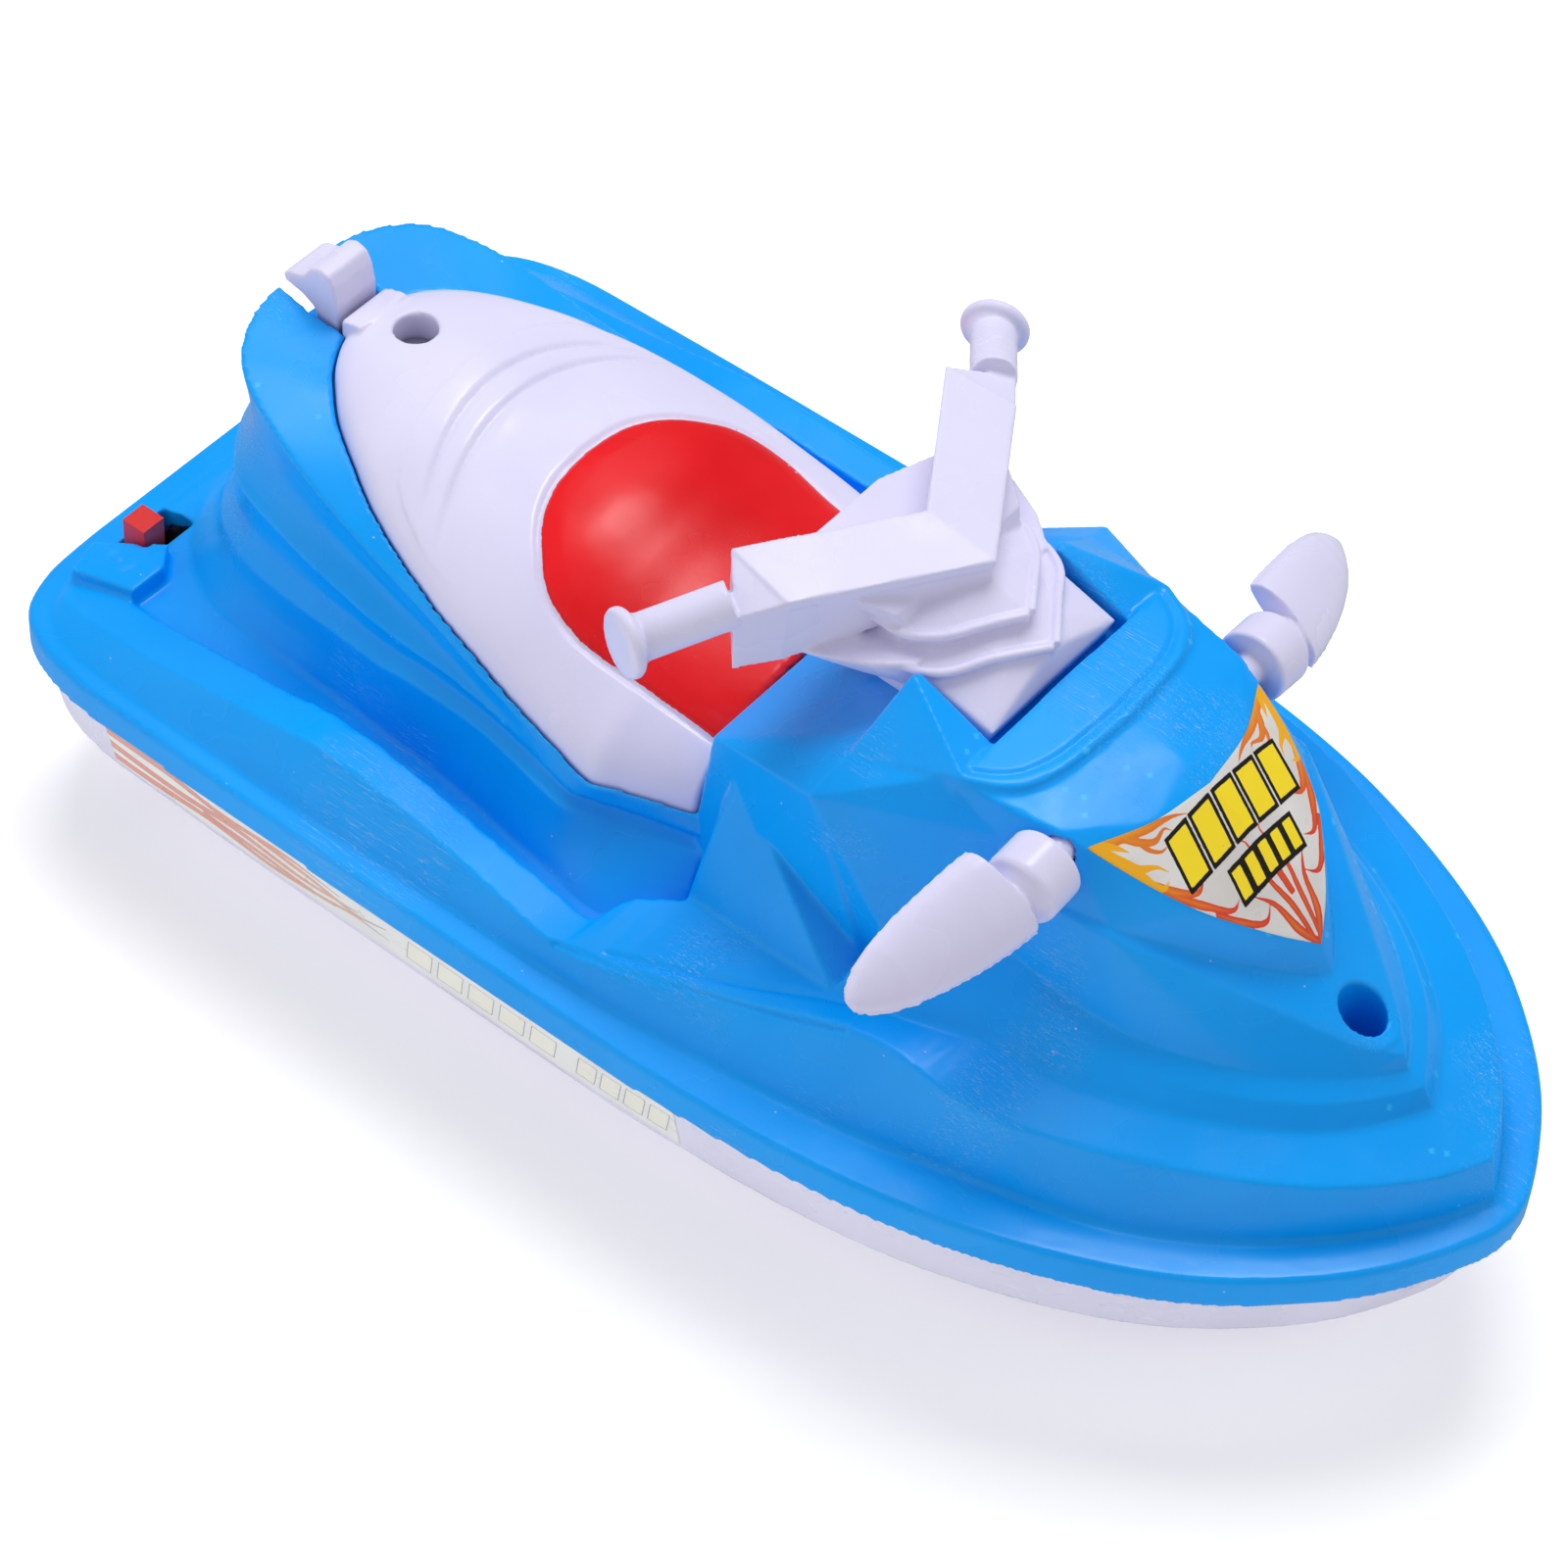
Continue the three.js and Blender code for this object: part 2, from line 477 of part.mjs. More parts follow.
// cavity inside the deck, open at the parting line
function deckCavity() {
  const footInset = inset(footRing, 2.2);
  const rimCavity = ringSolid([atZ(inset(rimRing, 3), -1), atZ(footInset, 3.2)]);
  const thickWell = ringSolid([
    atZ(inset(WELL_FLOOR, -2), FLOOR_Z - 2), atZ(inset(WELL_MOUTH, -2.4), 30),
  ]);
  const tierCavity = ringSolid([
    atZ(footInset, -1), atZ(footInset, 3.2),
    raised(inset(edgeRing, 2.4), -2.4), raised(inset(innerRing, 1.5), -2.4),
  ]).subtract(thickWell);
  const tailFootInset = inset(tailFoot, 2.4);
  const tailCavity = ringSolid([
    atZ(tailFootInset, -1), atZ(tailFootInset, 5), inset(tailLedge, 2.4), inset(tailFlute, 2.6),
    raised(inset(tailTop, 3.4), -3), raised(inset(tailTop, 7), -4.6),
  ]);
  return union(
    rimCavity, tierCavity, tailCavity, convex(cavityPoints(CONSOLE, THICK_WALL)),
    convex(cavityPoints(LOWER_FOREDECK)), convex(cavityPoints(UPPER_FOREDECK)),
    convex(cavityPoints(HOOD, THICK_WALL)),
  );
}

// slot for the latch, narrowing forwards: [x, half width]
function latchSlot() {
  const stations = [[-101, 5.6], [-92.5, 5.6], [-84.5, 4.2]];
  return convex(stations.flatMap(([x, y]) => [33.5, 50].flatMap((z) => [[x, y, z], [x, -y, z]])));
}

const mirrorPose = () => pose(...MIRROR_ROOT, -MIRROR_DROOP, 0, 0);

function deckShell() {
  const seatRecess = ringSolid([raised(seatRim, -2.3), atZ(seatRim, ABOVE_DECK)]);
  const batteryOpening = ringSolid([atZ(BATTERY_OPENING, -3), atZ(BATTERY_OPENING, ABOVE_DECK)]);
  let deck = deckOutside().subtract(deckCavity())
    .subtract(seatRecess.subtract(consoleBlock))
    .subtract(batteryOpening.subtract(consoleBlock));

  deck = union(
    deck,
    cylZ(BOW_HOLE.x, 0, 2, 23, 5.2, 20),
    cylZ(SEAT_HOLE.x, 0, 22, 33, 4.4, 18),
    ...STERN_SCREWS.map((s) => cylZ(s.x, s.y, 1.2, s.deckTop, s.deckRadius, 14)),
  );

  const mirrorSocket = solid(new THREE.CylinderGeometry(2.5, 2.5, 10, 16), mirrorPose());
  const collarSeat = solid(new THREE.CylinderGeometry(5.7, 5.7, 3, 20),
    mirrorPose().multiply(pose(0, 1.2, 0)));
  const tonguePocket = box(
    TONGUE.x0 - TONGUE_CLEARANCE, TONGUE.x1 + TONGUE_CLEARANCE,
    -TONGUE.halfWidth - TONGUE_CLEARANCE, TONGUE.halfWidth + TONGUE_CLEARANCE,
    30, ABOVE_DECK,
  );
  const cuts = [
    cylZ(BOW_HOLE.x, 0, 7, 40, BOW_HOLE.radius, 24),
    cylZ(BOW_HOLE.x, 0, 0, 8, SCREW_BORE, 14),
    cylZ(SEAT_HOLE.x, 0, 23.5, 40, 2.3, 14),
    cylZ(SEAT_HOLE.x, 0, 34.2, 45, 5.3, 20),
    ...STERN_SCREWS.map((s) => cylZ(s.x, s.y, 0, s.boreTop, SCREW_BORE, 12)),
    latchSlot(),
    box(SLOT.x0, SLOT.x1, SLOT.y0, SLOT.y1, -1, 20),
    mirrorSocket, mirrored(mirrorSocket),
    collarSeat, mirrored(collarSeat),
    tonguePocket,
  ];
  return cuts.reduce((body, cut) => body.subtract(cut), deck);
}

// ---------------------------------------------------------------- hull shell
// levels of the hull, keel to rim: [stern x, bow x, half width, z]
const CHINE = [-108, 103.6, 51.6, -12.4];
const HULL_TOP = [-108.8, 108.6, 54.1, -GAP];
const HULL_OUTSIDE = [[-106, 74, 18, -HULL_DEPTH], [-107.4, 93, 38, -20], CHINE, HULL_TOP];
const HULL_INSIDE = [
  [-104, 70, 16.6, -HULL_DEPTH + 2], [-105.2, 90, 36, -18.6],
  [-105.9, 100.6, 49.4, -12], [-106.6, 106, 51.9, 1],
];

// the rim outline stretched to the ends and width of one hull level
function hullRing([sternX, bowX, halfWidth, z], count = 30) {
  return resample(RIM, count).map(([x, y]) => {
    const along = (x + LENGTH / 2) / LENGTH;
    return [sternX + (bowX - sternX) * along, y / HALF_BEAM * halfWidth, z];
  });
}

// propeller tunnel under the stern, or the same block grown by a wall
function tunnelBlock(wall) {
  return convex(withMirror([-112, -82 + wall].flatMap((x) => [
    [x, 13.5 + wall, -27], [x, 12 + wall, -3.6 + wall],
  ])));
}

function hullShell() {
  const inside = ringSolid(HULL_INSIDE.map((level) => hullRing(level)));
  const shell = ringSolid(HULL_OUTSIDE.map((level) => hullRing(level)))
    .subtract(inside.subtract(tunnelBlock(1.8)))
    .subtract(tunnelBlock(0));
  const strapScrewYs = [STRAP_SCREW_Y, -STRAP_SCREW_Y];
  const bodies = union(
    shell,
    cylZ(BOW_HOLE.x, 0, -20.2, 1.6, 4.2, 14),
    ...STERN_SCREWS.map((s) => cylZ(s.x, s.y, s.hullFoot, 0.9, s.hullRadius, 14)),
    ...strapScrewYs.map((y) => cylZ(MOTOR_X, y, -24, -16.5, 2.8, 14)),
    box(-82, -79, -6, 6, -20, -9.5),   // block around the stern tube
  );
  const cuts = [
    cylZ(BOW_HOLE.x, 0, -12, 3, SCREW_BORE, 12),
    ...strapScrewYs.map((y) => cylZ(MOTOR_X, y, -20.5, -15, 1.2, 10)),
    cylX(-84, -78, 0, SHAFT_Z, 2.5, 16),
    ...STERN_SCREWS.map((s) => cylZ(s.x, s.y, -30, 3, SCREW_BORE, 12)),
    ...STERN_SCREWS.map((s) => cylZ(s.x, s.y, -30, -8.3, 2.9, 14)),   // screw head recesses
  ];
  // cradle walls under the motor, by the x of their aft faces
  const cradle = [MOTOR_X - 9, MOTOR_X + 5].map((x) => box(x, x + 3, -9, 9, -23.5, SHAFT_Z - 7.8));
  return union(cuts.reduce((body, cut) => body.subtract(cut), bodies), ...cradle);
}

// ----------------------------------------------------------------- seat cover
// height of the seat along the centreline: [x, z]
const SEAT_CROWN = [
  [-87, 39.2], [-84, 41.2], [-77.6, 42.7], [-70, 42.8], [-62, 41.9], [-55, 40.6],
  [-47, 39.5], [-38, 38.4], [-30, 36.2], [-23, 34.2], [-15, 33.1], [-5.8, 32.5],
];

function seatCover() {
  const crownZ = (x) => pointAtX(SEAT_CROWN, x)[1];
  const stations = [-70, -62, -54, -46, -38, -30, -24, -19.8];
  const edge = inset(stationRing(SEAT_EDGE, 9, stations, [0.4, 1]), 0.4)
    .map(([x, y, z]) => [Math.min(x, -5.9), y, z]);
  // elliptical section: widthFraction 1 is the edge, 0 the crown
  const crownRing = (widthFraction, wall, drop) => edge.map(([x, y, z]) => {
    const rise = (crownZ(x) - z) * Math.sqrt(1 - widthFraction ** 2);
    return [x, Math.max(y - wall, 0) * widthFraction, z + rise - drop];
  });
  const outside = ringSolid([
    raised(edge, -1.9), edge,
    ...[0.94, 0.8, 0.6, 0.35].map((fraction) => crownRing(fraction, 0, 0)),
    edge.map(([x]) => [x, 0, crownZ(x)]),
  ]);

  // the inside is shifted along the boat to leave end walls
  const shift = (x) => {
    if (x > -40) return x - 1.8;
    return x + (x < -84 ? 1.6 : 1);
  };
  const inside = ringSolid([
    edge.map(([x, y, z]) => [x, Math.max(y - 2, 0), z - 9]),
    ...[0.96, 0.8, 0.55].map((fraction) => crownRing(fraction, 2, 2)),
    edge.map(([x]) => [x, 0, crownZ(x) - 2.2]),
  ].map((ring) => ring.map(([x, y, z]) => [shift(x), y, z]).slice(2)));

  return outside.subtract(inside)
    .add(cylZ(SEAT_HOLE.x, 0, 34.6, 40.6, 4.8, 16))
    .subtract(cylZ(SEAT_HOLE.x, 0, 36, 50, SEAT_HOLE.radius, 24))
    .subtract(cylZ(SEAT_HOLE.x, 0, 30, 36.8, SCREW_BORE, 14));
}

// spring tongue that rises out of the tail slot and ends in a thumb pad
function seatLatch() {
  const width = 8;
  // side profile: [x, z]
  const profile = [
    [-88.5, 35.4], [-87.6, 38.2], [-87.3, 42], [-87.7, 45.6], [-88.9, 47.3], [-90.8, 47.8],
    [-92.6, 46.9], [-94.3, 45.3], [-96.9, 44.4], [-98.8, 43.7], [-99.6, 42.8], [-99.2, 41.4],
    [-95, 40.9], [-92.8, 39.6], [-91.6, 35.4], [-89.9, 34.4],
  ];
  const geometry = new THREE.ExtrudeGeometry(shapeOf(profile),
    { depth: width, bevelEnabled: false, steps: 1 });
  return solid(geometry, pose(0, width / 2, 0, Math.PI / 2));
}

// -------------------------------------------------------- handlebar moulding
// port arm, and the block at its outer end
const BAR_ARM = [
  [8.1, 0, 65.4], [19.1, 0, 62.5], [4.6, 23.8, 65.1], [-5.45, 22.1, 65],
  [4.6, 23.8, 53.8], [-5.2, 22.1, 55.5], [19.3, 0, 58.5], [8.1, 0, 56],
];
const BAR_END = [
  [4.6, 23.8, 65.1], [-5.45, 22.1, 65], [4.6, 23.8, 53.8], [-5.2, 22.1, 55.5],
  [-0.6, 28.6, 61], [1.2, 28.3, 54.2], [-3.4, 27.4, 61.6], [-2.6, 27.6, 54.8],
];
const BAR_PLATE = withMirror([
  [-5.5, 0, 55], [-5.8, 9, 55], [-3, 17.5, 55], [5.5, 22, 54.8], [13.5, 18.2, 54.8],
  [18.4, 14, 54.8], [-4, 0, 51], [-4, 8, 51], [-1.6, 15, 51], [5.5, 18, 50.6],
  [13, 15.6, 50.4], [18.2, 13.4, 50.4],
]);
const BAR_APRON = withMirror([
  [30.4, 13.2, 50], [29.6, 13.2, 47.4], [30.2, 5, 54.2], [30.1, 0, 54.9], [25, 4, 57.4],
  [24.2, 0, 58.9], [19.3, 0, 60.4], [14, 13.5, 57.4], [18.6, 13.6, 54.9], [8, 14, 55],
  [8, 13, 47.4], [19, 13.6, 47.4],
]);
const BAR_COLUMN = withMirror([
  [-2, 9, 52], [14, 12, 52], [2, 8, 41], [16, 11, 46], [20, 11, 47.2], [20, 12, 52],
]);

// arm and grip on one side: 1 is port, -1 starboard
function barHalf(side) {
  const sided = (points) => (side > 0 ? points : flipY(points));
  const gripRoot = new THREE.Vector3(-1.2, side * 27, 62.6);
  const gripTip = new THREE.Vector3(-9, side * 37.8, 58.7);
  const outward = gripTip.clone().sub(gripRoot).normalize();
  const along = (distance) => gripTip.clone().addScaledVector(outward, distance);
  return union(
    convex(sided(BAR_ARM)), convex(sided(BAR_END)),
    rod(gripRoot, gripTip, 3.15),
    rod(along(-0.6), along(1.5), 4.9, 18, 4.2),
  );
}

function handlebar() {
  const deckBlocks = union(consoleBlock, ...fins, browPlate, hoodBlock);
  const { x0, x1, halfWidth } = TONGUE;
  return union(barHalf(1), barHalf(-1), convex(BAR_PLATE), convex(BAR_APRON), convex(BAR_COLUMN))
    .subtract(moved(deckBlocks, pose(0, 0, CONSOLE_CLEARANCE)))
    .add(box(x0, x1, -halfWidth, halfWidth, 36, 52));
}

// -------------------------------------------------------------------- mirrors
// Local frame: +Y along the stem, +Z up, +X forward. A thin blade, turned so its broad
// crowned face looks up and forward, sweeps back and down to its tip.
// stem and collar: [radius, y]
const MIRROR_STEM = [
  [0, -4.2], [2.2, -4.2], [2.2, 0], [5.3, 0], [5.3, 6.3], [4.2, 7], [3.2, 7.8], [3.2, 10.5],
  [0, 10.5],
];
// blade sections: [y, half width, thickness factor, centre x, centre z]
const BLADE_SECTIONS = [
  [8.2, 6.5, 1, -0.8, 1.6], [10, 6.5, 1, -1.1, 1.5], [13, 6.4, 0.98, -1.65, 1.15],
  [17, 6.05, 0.93, -2.55, 0.55], [21, 5.5, 0.85, -3.6, -0.15], [25, 4.55, 0.7, -4.7, -0.95],
  [28, 3.35, 0.52, -5.6, -1.65], [30, 2, 0.32, -6.2, -2.1], [31.1, 0.8, 0.15, -6.5, -2.3],
];

function mirrorBlade() {
  const sides = 14;
  const crown = 2.9;   // bulge of the front face at factor 1
  const back = 1.3;    // bulge of the back face at factor 1
  const cos = Math.cos(BLADE_TURN);
  const sin = Math.sin(BLADE_TURN);
  const positions = [];
  const triangles = [];
  for (const [y, halfWidth, factor, centreX, centreZ] of BLADE_SECTIONS) {
    for (let i = 0; i < sides; i++) {
      const angle = i / sides * Math.PI * 2;
      const out = factor * (Math.cos(angle) > 0 ? crown : back) * Math.cos(angle);
      const across = halfWidth * Math.sin(angle);
      positions.push(centreX + out * cos - across * sin, y, centreZ + out * sin + across * cos);
    }
  }
  const tip = (BLADE_SECTIONS.length - 1) * sides;
  for (let start = 0; start < tip; start += sides) {
    for (let i = 0; i < sides; i++) {
      const a = start + i;
      const b = start + (i + 1) % sides;
      triangles.push(a, b, b + sides, a, b + sides, a + sides);
    }
  }
  for (let i = 1; i < sides - 1; i++) {
    triangles.push(0, i + 1, i, tip, tip + i, tip + i + 1);
  }
  return solidFrom(positions, triangles);
}

function portMirror() {
  const profile = MIRROR_STEM.map(([radius, y]) => new THREE.Vector2(radius, y));
  const stem = solid(new THREE.LatheGeometry(profile, 16));
  return moved(stem.add(mirrorBlade()), mirrorPose());
}

// --------------------------------------------------------------------- screws
// cross-head screw: underside of the head at z = 0, shank pointing down
function screw({ headRadius, headHeight, shankRadius, length }) {
  const arm = headRadius * 0.6;
  const halfSlot = 0.35;
  const slotFloor = headHeight - 0.7;
  return cylZ(0, 0, 0, headHeight, headRadius, 14)
    .add(cylZ(0, 0, -length, 0.01, shankRadius, 8))
    .subtract(box(-arm, arm, -halfSlot, halfSlot, slotFloor, headHeight + 1))
    .subtract(box(-halfSlot, halfSlot, -arm, arm, slotFloor, headHeight + 1));
}

// ------------------------------------------------------------------ batteries
function batteryTray() {
  const { x0, x1, halfWidth, z0, z1, wall, floor } = BAY;
  const innerY = halfWidth - wall;
  return box(x0, x1, -halfWidth, halfWidth, z0, z1)
    .subtract(box(x0 + wall, x1 - wall, -innerY, innerY, z0 + floor, z1 + 1))
    .add(box(x0 + 3.4, x1 - 3.4, -0.18, 0.18, z0 + 1.7, z0 + 4));   // rib between the cells
}

// cell with its raised terminal at +X
function battery() {
  const end = BATTERY.length / 2;
  return cylX(-end, end - 1, 0, 0, BATTERY.radius, 20).add(cylX(end - 1.01, end, 0, 0, 2.7, 12));
}

const contactPlate = (x, y0, y1) => box(x, x + CONTACT_THICKNESS, y0, y1, 5, 17);

// plate with a tapering coil that points aft to the battery
function springContact() {
  const turns = 1.5;
  const points = [];
  for (let i = 0; i <= 16; i++) {
    const t = i / 16;
    const radius = 4.4 - 1.8 * t;
    const angle = t * turns * 2 * Math.PI;
    points.push([t * 1.5, radius * Math.cos(angle), radius * Math.sin(angle)]);
  }
  const aftwards = new THREE.Matrix4().makeScale(-0.55, 1, 1)
    .setPosition(FRONT_CONTACT_X + CONTACT_THICKNESS / 2, -BATTERY.y, BATTERY.z);
  return contactPlate(FRONT_CONTACT_X, -12.4, -3)
    .add(moved(sweep(points, 0.35, 5, 18), aftwards));
}

const wire = (points, steps) => sweep(points, 0.6, 6, steps);

// ---------------------------------------------------------------- drive train
const shaftCylinder = (x0, x1, radius, segments) => cylX(x0, x1, 0, SHAFT_Z, radius, segments);
const shaftTube = (x0, x1, radius) =>
  shaftCylinder(x0, x1, radius, 16).subtract(shaftCylinder(x0 - 1, x1 + 1, 1.3, 12));

// round motor body with flats above and below
function flattenedCylinder(x0, x1, radius, halfHeight) {
  return shaftCylinder(x0, x1, radius, 28).intersect(
    box(MOTOR_X - 20, MOTOR_X + 20, -10, 10, SHAFT_Z - halfHeight, SHAFT_Z + halfHeight));
}

function motorCan() {
  return flattenedCylinder(MOTOR_X - 12, MOTOR_X + 11, 10, 7.5)
    .subtract(shaftCylinder(MOTOR_X - 13, MOTOR_X + 9.6, 2.2, 14));
}

// strap over the motor can, with a screw flange on each side
function motorStrap() {
  const arch = (halfLength, radius, z0, top) =>
    shaftCylinder(MOTOR_X - halfLength, MOTOR_X + halfLength, radius, 28)
      .intersect(box(MOTOR_X - 9, MOTOR_X + 9, -12, 12, z0, SHAFT_Z + top));
  return arch(3.5, 11.7, -16, 9.3)
    .add(box(MOTOR_X - 3.5, MOTOR_X + 3.5, -17.6, 17.6, -16.2, -14.6))
    .subtract(arch(5, 10.3, -30, 7.8))
    .subtract(cylZ(MOTOR_X, STRAP_SCREW_Y, -17, -14, 1.5, 12))
    .subtract(cylZ(MOTOR_X, -STRAP_SCREW_Y, -17, -14, 1.5, 12));
}

function propeller() {
  const bladeCount = 3;
  const blade = convex([
    [-1.9, 1.5, -1.6], [1.9, 1.5, 1.6], [-1.3, 1.5, -2], [2.5, 1.5, 1.2],
    [-2.4, 7, -3.2], [2, 7, 3.0], [-1.7, 7, -3.6], [2.6, 7, 2.5],
    [-1.2, PROP_RADIUS, -1.4], [0.8, PROP_RADIUS, 1.4],
    [-0.6, PROP_RADIUS, -1.7], [1.3, PROP_RADIUS, 1.1],
  ]);
  let body = shaftCylinder(PROP_X - 3, PROP_X + 3, 2.6, 16);
  for (let k = 0; k < bladeCount; k++) {
    body = body.add(moved(blade, pose(PROP_X, 0, SHAFT_Z, 2 * Math.PI * k / bladeCount)));
  }
  return body.subtract(shaftCylinder(PROP_X - 4, PROP_X + 4, 1.3, 12));
}

// --------------------------------------------------------------- slide switch
function switchBody() {
  const { x0, x1, y0, y1 } = SLOT;
  return box(x0 - 0.1, x1 + 2.6, y0 - 1, y1 + 1, -4.6, 0.7)
    .subtract(box(x0 + 0.9, x1 - 0.9, y0 + 0.3, y1 - 0.3, -1.8, 3));
}

// knob at the starboard end of the slot, on a narrower foot
function switchKnob() {
  const x = (SLOT.x0 + SLOT.x1) / 2;
  const y = SLOT.y0 + 0.6 + KNOB / 2;
  return box(x - KNOB / 2, x + KNOB / 2, y - KNOB / 2, y + KNOB / 2, 1.8, 11)
    .add(box(x - 1.8, x + 1.8, y - 1.4, y + 1.4, -0.6, 2));
}

// ------------------------------------------- stickers: films just off the surface
const FILM_THICKNESS = 0.3;

function frontSticker() {
  const lift = 0.32;
  // starboard half of the plan outline, from the aft edge to the bow tip: [x, y]
  const starboardHalf = [
    [55.1, 0], [53.8, -8.6], [49.7, -17.8], [55.1, -16.2], [59, -14.5], [64.3, -11.5],
    [67.7, -8.2], [71.5, -4], [74.1, 0],
  ];
  const outline = [...starboardHalf, ...flipY(starboardHalf.slice(1, -1)).reverse()];
  const column = new THREE.ExtrudeGeometry(shapeOf(outline),
    { depth: ABOVE_DECK, bevelEnabled: false });
  return hoodBlock.translate([0, 0, lift + FILM_THICKNESS])
    .subtract(hoodBlock.translate([0, 0, lift]))
    .intersect(solid(column));
}

// band along the hull above the chine: side 1 is port, -1 starboard
function sideSticker(side) {
  const lift = 0.3;
  const ringAt = (z) => {
    const [sternX, bowX, halfWidth] = lerp(HULL_TOP, CHINE, z / CHINE[3]);
    return hullRing([sternX, bowX, halfWidth, z], 48);
  };
  const upper = ringAt(-1.8);
  const lower = ringAt(-10.6);
  const corners = [
    [upper, lift], [upper, lift + FILM_THICKNESS],
    [lower, lift + FILM_THICKNESS], [lower, lift],
  ];
  const positions = [];
  const triangles = [];
  upper.forEach(([stationX], i) => {
    if (stationX <= -88 || stationX >= 14) return;
    for (const [ring, offset] of corners) {
      const [x, y, z] = ring[i];
      positions.push(x, side * (y + offset), z);
    }
  });
  const end = positions.length / 3 - 4;
  for (let start = 0; start < end; start += 4) {
    for (let j = 0; j < 4; j++) {
      const a = start + j;
      const b = start + (j + 1) % 4;
      triangles.push(a, b, b + 4, a, b + 4, a + 4);
    }
  }
  triangles.push(0, 2, 1, 0, 3, 2);
  triangles.push(end, end + 1, end + 2, end, end + 2, end + 3);
  return solidFrom(positions, triangles);
}

// ------------------------------------------------------------------ materials
const material = ({ color, roughness, metalness = 0 }) =>
  new THREE.MeshStandardMaterial({ color, roughness, metalness });
const BLUE = material({ color: 0x0a78db, roughness: 0.28 });
const WHITE = material({ color: 0xdedcf7, roughness: 0.35 });
const RED = material({ color: 0xd43b39, roughness: 0.4 });
const STEEL = material({ color: 0xb8babd, roughness: 0.35, metalness: 1 });
const BLACK = material({ color: 0x1b1b1d, roughness: 0.6 });
const RUBBER = material({ color: 0x2a2a2c, roughness: 0.85 });
const BRASS = material({ color: 0xc9a24b, roughness: 0.35, metalness: 1 });
const FOIL = material({ color: 0xd7d4d0, roughness: 0.3 });
const GREY = material({ color: 0x9a9ca3, roughness: 0.5 });

// ------------------------------------------------------------------- assembly
const boat = new THREE.Group();
const frame = new THREE.Group();
frame.position.set(0, 0, HULL_DEPTH);
boat.add(frame);

function piece(name, manifold, finish, placement) {
  const mesh = new THREE.Mesh(toGeometry(mainBody(manifold).simplify(0.02)), finish.clone());
  mesh.name = name;
  if (placement) mesh.applyMatrix4(placement);
  frame.add(mesh);
}

piece('deck_shell', deckShell(), BLUE);
piece('hull_shell', hullShell(), WHITE);
piece('seat_cover', seatCover(), WHITE);
piece('seat_latch', seatLatch(), WHITE);
piece('handlebar_console', handlebar(), WHITE);
const leftMirror = portMirror();
piece('mirror_left', leftMirror, WHITE);
piece('mirror_right', mirrored(leftMirror), WHITE);
piece('switch_knob', switchKnob(), RED);
piece('switch_body', switchBody(), BLACK);

const bowScrew = screw({ headRadius: 2.8, headHeight: 2, shankRadius: 1.3, length: 17 });
piece('bow_screw', bowScrew, STEEL, pose(BOW_HOLE.x, 0, 7.3));
const seatScrew = screw({ headRadius: 2.7, headHeight: 1.7, shankRadius: 1.3, length: 11 });
piece('seat_screw', seatScrew, STEEL, pose(SEAT_HOLE.x, 0, 36.3));
const sternScrew = screw({ headRadius: 2.5, headHeight: 1.8, shankRadius: 1.3, length: 12.6 });
for (const { side, x, y } of STERN_SCREWS) {
  piece(`stern_screw_${side}`, sternScrew, STEEL, pose(x, y, -8.6, Math.PI));
}

piece('battery_tray', batteryTray(), GREY);
piece('battery_left', battery(), BLACK, pose(BATTERY.x, BATTERY.y, BATTERY.z));
piece('battery_right', battery(), BLACK, pose(BATTERY.x, -BATTERY.y, BATTERY.z, 0, 0, Math.PI));
piece('battery_bridge_contact', contactPlate(-70.1, -12.6, 12.6), STEEL);
piece('battery_flat_contact', contactPlate(FRONT_CONTACT_X, 3, 12.4), STEEL);
piece('battery_spring_contact', springContact(), STEEL);

piece('motor_can', motorCan(), STEEL);
piece('motor_end_cap', flattenedCylinder(MOTOR_X + 11.3, MOTOR_X + 13.8, 9.7, 7.2), WHITE);
piece('motor_shaft', shaftCylinder(MOTOR_X - 21, MOTOR_X + 8, 1, 12), STEEL);
piece('motor_strap', motorStrap(), GREY);
const strapScrew = screw({ headRadius: 2.2, headHeight: 1.4, shankRadius: 0.9, length: 4.4 });
piece('motor_strap_screw_left', strapScrew, STEEL, pose(MOTOR_X, STRAP_SCREW_Y, -14.3));
piece('motor_strap_screw_right', strapScrew, STEEL, pose(MOTOR_X, -STRAP_SCREW_Y, -14.3));
piece('shaft_coupling', shaftTube(MOTOR_X - 27, MOTOR_X - 14.5, 2.6), RUBBER);
piece('prop_shaft', shaftCylinder(-95.2, MOTOR_X - 21.5, 1, 12), STEEL);
piece('stern_tube', shaftTube(-86, -76, 2.2), BRASS);
piece('propeller', propeller(), WHITE);

piece('front_sticker', frontSticker(), FOIL);
piece('side_sticker_left', sideSticker(1), FOIL);
piece('side_sticker_right', sideSticker(-1), FOIL);
piece('wire_red', wire([
  [MOTOR_X + 14.2, 4, SHAFT_Z], [-20, 5, -12], [-12, 9, -4], [-12, 9, 6], [-16.4, 8, 10],
], 14), RED);
piece('wire_black', wire([
  [MOTOR_X + 14.2, -4, SHAFT_Z], [-22, -10, -14], [-34, -24, -10], [-62, -26, -6],
  [-84, -24, -2], [-92, -25, -2.4], [-95.6, -26, -2.6],
], 20), BLACK);

export default boat;
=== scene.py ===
# A toy jet ski: white hull, blue stepped deck, red and white seat, handlebar, two mirrors and
# printed films, around the CAD's own motor, batteries and screws. The bow points to +X and
# port is +Y.
import json
import math

